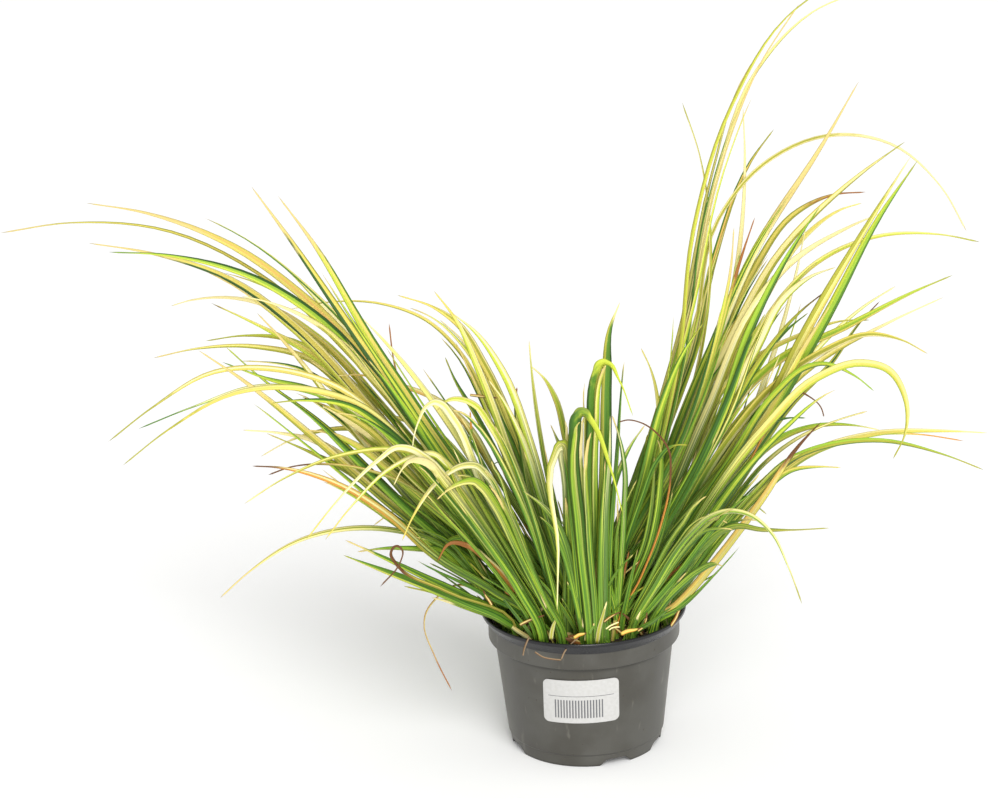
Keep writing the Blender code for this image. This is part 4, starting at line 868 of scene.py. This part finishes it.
def sheath_of(blade, chance):
    """A short, wide, pointed leaf that wraps the foot of another."""
    length = sum((b - a).length for a, b in zip(blade.points, blade.points[1:]))
    share = min(SHEATH_MOST, chance.uniform(*SHEATH_LENGTH) * MM / length)
    drift = Vector((chance.uniform(-3, 3), chance.uniform(-3, 1), 0)) * MM
    shift = Vector((chance.uniform(-1.2, 1.2), chance.uniform(-2.4, -0.4), 0)) * MM
    width = chance.uniform(*SHEATH_WIDTH) * MM
    return part_of(blade, share, shift, drift, width, SHEATH_TAPER, chance.choice(SHEATH_LOOKS))


def make_shoot(name, surface):
    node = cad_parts[name]
    chance = random.Random(name)
    root = stem_point(node) + UP * ROOT_ABOVE_POINT
    gathered = LeafMesh(chance)
    leaves = traced_leaves(node)
    for index, traced in enumerate(leaves):
        behind = AWAY * (index - (len(leaves) - 1) / 2) * ROOT_SPACING
        beside = RIGHT * max(-FAN_MOST, min(FAN_MOST, FAN_SPREAD * lean_of(traced) * FAN_REACH * MM))
        blade = blade_of(upper_first(traced), root + behind + beside, look_of(traced, chance))
        gathered.add(blade)
        if traced.width > WIDE_LEAF:
            for _ in range(FOLLOWERS):
                gathered.add(follower_of(blade, chance))
            if index % 2 == 0:
                gathered.add(sheath_of(blade, chance))
    shoot = gathered.build(f"{name}_blades", surface)
    return finish_piece(shoot, "leaf", name)


# Pot


def place_new(name, data):
    """A new object in the scene."""
    obj = bpy.data.objects.new(name, data)
    bpy.context.scene.collection.objects.link(obj)
    return obj


def link(name, mesh, surface):
    mesh.materials.append(surface)
    return place_new(name, mesh)


def mesh_of(name, bm):
    """What was gathered in bm as a mesh."""
    mesh = bpy.data.meshes.new(name)
    bm.to_mesh(mesh)
    bm.free()
    return mesh


def on_circle(radius, angle):
    return radius * math.cos(angle), radius * math.sin(angle)


def finish_piece(obj, slot, *nodes):
    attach(obj, "root")
    if nodes:
        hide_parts(*nodes)
    return obj


def body_radius(height):
    share = (height - FOOT_LINE) / (BODY_TOP - FOOT_LINE)
    return BODY_FOOT_RADIUS + share * (BODY_TOP_RADIUS - BODY_FOOT_RADIUS)


def rounded(profile, radius, steps=4):
    """The profile with each inner corner replaced by a small arc that starts radius away from it."""
    points = [profile[0]]
    for before, here, after in zip(profile, profile[1:], profile[2:]):
        before, here, after = (Vector(point) for point in (before, here, after))
        reach = min(radius, (here - before).length * 0.4, (after - here).length * 0.4)
        start = here + (before - here).normalized() * reach
        end = here + (after - here).normalized() * reach
        for step in range(steps + 1):
            t = step / steps
            point = start.lerp(here, t).lerp(here.lerp(end, t), t)
            points.append((point.x, point.y))
    points.append(profile[-1])
    return points


def pot_profile():
    """The pot's section: up the inside from the middle of the floor, over the lip and down the outside."""
    inside = [
        (0, WALL), (FOOT_RADIUS - WALL, WALL),
        (BODY_TOP_RADIUS - WALL, BODY_TOP + 0.2 * WALL),
        (COLLAR_RADIUS - WALL, COLLAR_BOTTOM + 0.2 * WALL),
        (COLLAR_RADIUS - WALL, COLLAR_TOP),
        (LIP_RADIUS - WALL, LIP_TOP - LIP_BAND), (LIP_RADIUS - WALL, LIP_TOP),
    ]
    outside = [
        (LIP_RADIUS, LIP_TOP), (LIP_RADIUS, LIP_TOP - LIP_BAND),
        (COLLAR_RADIUS, COLLAR_TOP), (COLLAR_RADIUS, COLLAR_BOTTOM),
        (BODY_TOP_RADIUS, BODY_TOP), (BODY_FOOT_RADIUS, FOOT_LINE),
        (BODY_FOOT_RADIUS - FOOT_STEP, FOOT_LINE - FOOT_STEP), (FOOT_RADIUS, 0), (0, 0),
    ]
    return rounded(inside + outside, POT_ROUNDING)


def turned(name, profile, surface):
    mesh = bpy.data.meshes.new(name)
    ends = [(i, i + 1) for i in range(len(profile) - 1)]
    mesh.from_pydata([(radius, 0, height) for radius, height in profile], ends, [])
    obj = link(name, mesh, surface)
    screw = obj.modifiers.new("turn", "SCREW")
    screw.steps = POT_STEPS
    screw.render_steps = POT_STEPS
    screw.use_merge_vertices = True
    screw.merge_threshold = 0.00001
    return obj


def channel_bar(name, grow, start, end, bottom, turn, surface):
    """A trapezoid bar along a channel, grown on its sides and top."""
    bm = bmesh.new()
    bmesh.ops.create_cube(bm, size=1.0)
    slope = (CHANNEL_FOOT_WIDTH - CHANNEL_TOP_WIDTH) / CHANNEL_HEIGHT
    for vert in bm.verts:
        height = CHANNEL_HEIGHT + grow if vert.co.z > 0 else bottom
        width = CHANNEL_FOOT_WIDTH - slope * height + 2 * grow
        vert.co = (end if vert.co.x > 0 else start, width / 2 * (1 if vert.co.y > 0 else -1), height)
    obj = link(name, mesh_of(name, bm), surface)
    obj.rotation_euler.z = math.radians(turn)
    bevel = obj.modifiers.new("round", "BEVEL")
    bevel.width = CHANNEL_ROUNDING
    bevel.segments = 3
    return obj


def drain_tool(name, turn, surface):
    bm = bmesh.new()
    size = {"radius1": DRAIN_RADIUS, "radius2": DRAIN_RADIUS, "depth": 6 * WALL}
    bmesh.ops.create_cone(bm, cap_ends=True, segments=DRAIN_SIDES, **size)
    obj = link(name, mesh_of(name, bm), surface)
    obj.location = (*on_circle(DRAIN_PLACE, math.radians(turn)), CHANNEL_HEIGHT)
    return obj


def add_boolean(obj, tool, operation):
    step = obj.modifiers.new(tool.name, "BOOLEAN")
    step.operation = operation
    step.object = tool


def settle(obj, tools):
    """The object with its modifiers made real and its tools taken away."""
    bpy.context.view_layer.update()
    mesh = bpy.data.meshes.new_from_object(obj.evaluated_get(bpy.context.evaluated_depsgraph_get()))
    obj.modifiers.clear()
    obj.data = mesh
    for tool in tools:
        bpy.data.objects.remove(tool)
    mesh.shade_smooth()
    mesh.set_sharp_from_angle(angle=POT_SHARP)


def make_pot(surface):
    pot = turned("nursery_pot", pot_profile(), surface)
    tools = []
    for turn in CHANNEL_TURNS:
        start = CHANNEL_START - WALL
        hump = channel_bar(f"hump_{turn}", WALL, start, FOOT_RADIUS - 0.5 * WALL, 0.5 * WALL, turn, surface)
        add_boolean(pot, hump, "UNION")
        tools.append(hump)
    for turn in CHANNEL_TURNS:
        channel = channel_bar(f"channel_{turn}", 0, CHANNEL_START, BODY_TOP_RADIUS, -4 * MM, turn, surface)
        drain = drain_tool(f"drain_{turn}", turn, surface)
        add_boolean(pot, channel, "DIFFERENCE")
        add_boolean(pot, drain, "DIFFERENCE")
        tools += [channel, drain]
    settle(pot, tools)
    return finish_piece(pot, "pot_plastic", "pot")


# Peat


def peat_height(x, y):
    """The height of the peat's crown with its lumps and grit, which die out at the wall."""
    edge = COLLAR_RADIUS - WALL
    share = min(1.0, math.hypot(x, y) / edge)
    place = Vector((x, y, 0))
    lumps = noise.noise(place / PEAT_LUMP_SPAN) * PEAT_LUMP * (1 - share ** 4)
    coarse, fine = (noise.noise(place / span) for span in PEAT_GRIT_SPANS)
    grit = (coarse * 0.7 + fine * 0.4) * MM
    return PEAT_EDGE + PEAT_CROWN * (1 - share * share) + lumps + grit * (1 - share ** 12) - 0.2 * MM


def add_crumb(bm, chance, edge):
    angle = chance.uniform(0, 2 * math.pi)
    radius = edge * math.sqrt(chance.random()) * 0.97
    x, y = on_circle(radius, angle)
    size = chance.uniform(*CRUMB_RADIUS) * MM
    spot = Matrix.Translation((x, y, peat_height(x, y) + 0.2 * size))
    long = chance.uniform(*CRUMB_STRETCH)
    wide = chance.uniform(*CRUMB_STRETCH)
    stretch = Matrix.Diagonal((long, wide, chance.uniform(*CRUMB_FLATNESS), 1))
    spin = Matrix.Rotation(chance.uniform(0, math.pi), 4, "Z")
    bmesh.ops.create_icosphere(bm, subdivisions=1, radius=size, matrix=spot @ spin @ stretch)


def make_peat(surface):
    """A rough disc of peat with crumbs on it, over the plug's own side."""
    chance = random.Random(PEAT_SEED)
    edge = COLLAR_RADIUS - WALL - 0.3 * MM
    bm = bmesh.new()
    rings = []
    for ring in range(1, PEAT_RINGS + 1):
        radius = edge * ring / PEAT_RINGS
        verts = []
        for sector in range(PEAT_SECTORS):
            x, y = on_circle(radius, 2 * math.pi * sector / PEAT_SECTORS)
            verts.append(bm.verts.new((x, y, peat_height(x, y))))
        rings.append(verts)
    inside_wall = WALL + 0.6 * MM
    for height, radius in ((COLLAR_BOTTOM + 1.2 * MM, edge), (BODY_TOP, BODY_TOP_RADIUS - inside_wall),
                           (PEAT_SIDE_FOOT, body_radius(PEAT_SIDE_FOOT) - inside_wall)):
        grown = radius / edge
        rings.append([bm.verts.new((v.co.x * grown, v.co.y * grown, height)) for v in rings[PEAT_RINGS - 1]])
    for inner, outer in zip(rings, rings[1:]):
        for i in range(PEAT_SECTORS):
            beside = (i + 1) % PEAT_SECTORS
            bm.faces.new((inner[i], outer[i], outer[beside], inner[beside]))
    bm.faces.new(rings[0])
    bm.faces.new(reversed(rings[-1]))
    for _ in range(CRUMBS):
        add_crumb(bm, chance, edge)
    mesh = mesh_of("peat_surface", bm)
    mesh.shade_smooth()
    return finish_piece(link("peat_surface", mesh, surface), "peat", "soil")


# Label


def label_ring(x, half, lift):
    """Points from the label's bottom edge to its top edge, at a distance x from its middle."""
    points = []
    for row in range(LABEL_ROWS + 1):
        z = half * (2 * row / LABEL_ROWS - 1)
        height = LABEL_MIDDLE + z + x * math.tan(LABEL_SLANT)
        radius = body_radius(height) + lift
        angle = -math.pi / 2 + (x - LABEL_OFF_CENTRE) / radius
        points.append(((*on_circle(radius, angle), height), (x, 0.0, z)))
    return points


def make_label(surface):
    """The sticker as a fine curved sheet with round corners, its print placed by its own flat measure."""
    bm = bmesh.new()
    place = bm.verts.layers.float_vector.new("label_place")
    sheets = {LABEL_LIFT + LABEL_THICKNESS: [], LABEL_LIFT: []}
    for column in range(LABEL_COLUMNS + 1):
        x = LABEL_WIDTH / 2 * math.sin(math.pi * (column / LABEL_COLUMNS - 0.5))
        into = max(0.0, abs(x) - (LABEL_WIDTH / 2 - LABEL_CORNER)) / LABEL_CORNER
        half = LABEL_HEIGHT / 2 - LABEL_CORNER * (1 - math.sqrt(max(0.0, 1 - into * into)))
        for lift, lines in sheets.items():
            line = []
            for point, flat in label_ring(x, half, lift):
                vert = bm.verts.new(point)
                vert[place] = flat
                line.append(vert)
            lines.append(line)
    front, back = sheets.values()
    for side in (front, back):
        for left, right in zip(side, side[1:]):
            for row in range(LABEL_ROWS):
                bm.faces.new((left[row], right[row], right[row + 1], left[row + 1]))
    for i in range(LABEL_COLUMNS):
        for row in (0, LABEL_ROWS):
            bm.faces.new((front[i][row], front[i + 1][row], back[i + 1][row], back[i][row]))
    for i in (0, LABEL_COLUMNS):
        for row in range(LABEL_ROWS):
            bm.faces.new((front[i][row], front[i][row + 1], back[i][row + 1], back[i][row]))
    bmesh.ops.recalc_face_normals(bm, faces=bm.faces)
    mesh = mesh_of("label_sticker", bm)
    mesh.shade_smooth()
    mesh.set_sharp_from_angle(angle=LABEL_SHARP)
    return finish_piece(link("label_sticker", mesh, surface), "label_paper", "label")


# Small pieces, each seen in the picture as a run of marks


def eye_blade(line, width, taper, look):
    """A blade along a line, its face turned to the eye."""
    last = len(line) - 1
    edges = []
    unders = []
    for i in range(last + 1):
        along = (line[min(i + 1, last)] - line[max(i - 1, 0)]).normalized()
        edges.append(along.cross(EYE_AHEAD).normalized())
        unders.append(EYE_AHEAD - along * EYE_AHEAD.dot(along))
    return Blade(line, edges, unders, [i / last for i in range(last + 1)], width, taper, look)


def strip_of(marks, back, back_end, width, taper, look):
    """A small leaf, thread or stub along its marks."""
    knots = []
    for index, mark in enumerate(marks):
        here = back + (back_end - back) * index / (len(marks) - 1)
        knots.append(on_sight_line(mark, here * MM))
    return eye_blade(smooth_line(knots, STRIP_STEPS), width * MM, taper, look)


def scrap_of(knots, chance, widths, looks):
    """A small leaf along its knots, with a drawn width and look."""
    width = chance.uniform(*widths) * MM
    return eye_blade(smooth_line(knots, STRIP_STEPS), width, SCRAP_TAPER, chance.choice(looks))


def litter_strip(chance):
    """A dead scrap that lies on the peat or leans among the stems."""
    x, y = (chance.uniform(*span) for span in LITTER_FIELD)
    if math.hypot(x, y) > LITTER_CIRCLE:
        return None
    start = Vector((x * MM, y * MM, peat_height(x * MM, y * MM) + chance.uniform(0.4, 1.5) * MM))
    turn = chance.uniform(0, 2 * math.pi)
    length = chance.uniform(*LITTER_LENGTH) * MM
    rise = chance.choice(LITTER_RISES)
    way = Vector((math.cos(turn), math.sin(turn) * 0.6, rise)).normalized()
    sag = chance.uniform(0.0, 0.2) * length
    knots = []
    for step in range(5):
        t = step / 4
        wave = Vector((-math.sin(turn), math.cos(turn), 0)) * math.sin(3 * t) * 0.1 * length
        point = start + way * length * t + wave - UP * sag * t * t
        floor = peat_height(point.x, point.y) + 0.3 * MM
        point.z = max(point.z, floor)
        if point.xy.length > LITTER_REACH and point.z < LIP_TOP + 1.5 * MM:
            return None
        knots.append(point)
    return scrap_of(knots, chance, LITTER_WIDTH, LITTER_LOOKS)


def stray_leaf(chance):
    """A thin short leaf that leans out of the clump's lower part."""
    x, y = (chance.uniform(*span) for span in STRAY_FIELD)
    if math.hypot(x, y) > STRAY_CIRCLE:
        return None
    start = Vector((x, y, 0)) * MM
    start.z = peat_height(start.x, start.y) - 1 * MM
    lean = x / STRAY_SPREAD + chance.uniform(-0.4, 0.4)
    way = Vector((lean, chance.uniform(-0.4, 0.3), 1.0)).normalized()
    side = Vector((1.0, chance.uniform(-0.5, 0.5), 0)) * math.copysign(1.0, lean)
    length = chance.uniform(*STRAY_LENGTH) * MM
    bend = chance.uniform(0.05, 0.5)
    knots = []
    for step in range(6):
        t = step / 5
        knots.append(start + way * length * t + (side * 0.5 - UP * 0.4) * bend * length * t * t)
    return scrap_of(knots, chance, STRAY_WIDTH, STRAY_LOOKS)


def make_litter(surface):
    chance = random.Random(LITTER_SEED)
    gathered = LeafMesh(chance)
    for strip in STRIPS:
        gathered.add(strip_of(*strip))
    scraps = [litter_strip(chance) for _ in range(LITTER)] + [stray_leaf(chance) for _ in range(STRAYS)]
    for blade in scraps:
        if blade:
            gathered.add(blade)
    return finish_piece(gathered.build("stubs_and_litter", surface), "leaf")


# Studio


def make_floor(surface):
    """A wide floor at the pot's foot."""
    mesh = bpy.data.meshes.new("floor")
    corners = [(x * FLOOR_HALF, y * FLOOR_HALF, 0) for x, y in ((-1, -1), (1, -1), (1, 1), (-1, 1))]
    mesh.from_pydata(corners, [], [(0, 1, 2, 3)])
    link("floor", mesh, surface)


def make_lamp(name, kind, energy, place, aim=(0, 0, 0)):
    """The light of a new lamp that stands at a place and shines at its aim."""
    light = bpy.data.lights.new(name, kind)
    light.energy = energy
    lamp = place_new(name, light)
    lamp.location = place
    lamp.rotation_euler = (Vector(place) - Vector(aim)).to_track_quat("Z", "Y").to_euler()
    return light


def make_lights():
    """A white sky, a wide sun from the front and above, and a low softbox for the pot's sheen."""
    make_lamp("softbox", "AREA", SOFTBOX_POWER, SOFTBOX_PLACE, SOFTBOX_AIM).size = SOFTBOX_SIDE
    make_lamp("sun", "SUN", SUN_STRENGTH, SUN_FROM).angle = SUN_ANGLE
    world = bpy.data.worlds.new("studio")
    bpy.context.scene.world = world
    world.use_nodes = True
    background = world.node_tree.nodes["Background"]
    background.inputs["Color"].default_value = (1, 1, 1, 1)
    background.inputs["Strength"].default_value = SKY_STRENGTH


def make_camera():
    """The eye that saw the picture."""
    data = bpy.data.cameras.new("camera")
    data.sensor_width = SENSOR_WIDTH
    data.lens = PICTURE_FOCAL / PICTURE_SIZE[0] * SENSOR_WIDTH
    camera = place_new("camera", data)
    turn = Matrix((EYE_RIGHT, EYE_UP, -EYE_AHEAD)).transposed()
    camera.matrix_world = Matrix.Translation(EYE) @ turn.to_4x4()
    bpy.context.scene.camera = camera


def main():
    bpy.context.scene.view_settings.view_transform = "Standard"
    make_camera()
    make_lights()
    make_floor(floor_material())
    make_pot(pot_material())
    make_peat(peat_material())
    make_label(label_material())
    leaf = leaf_material()
    for name in sorted(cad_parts):
        if "shoot" in name:
            make_shoot(name, leaf)
    make_litter(leaf)


main()
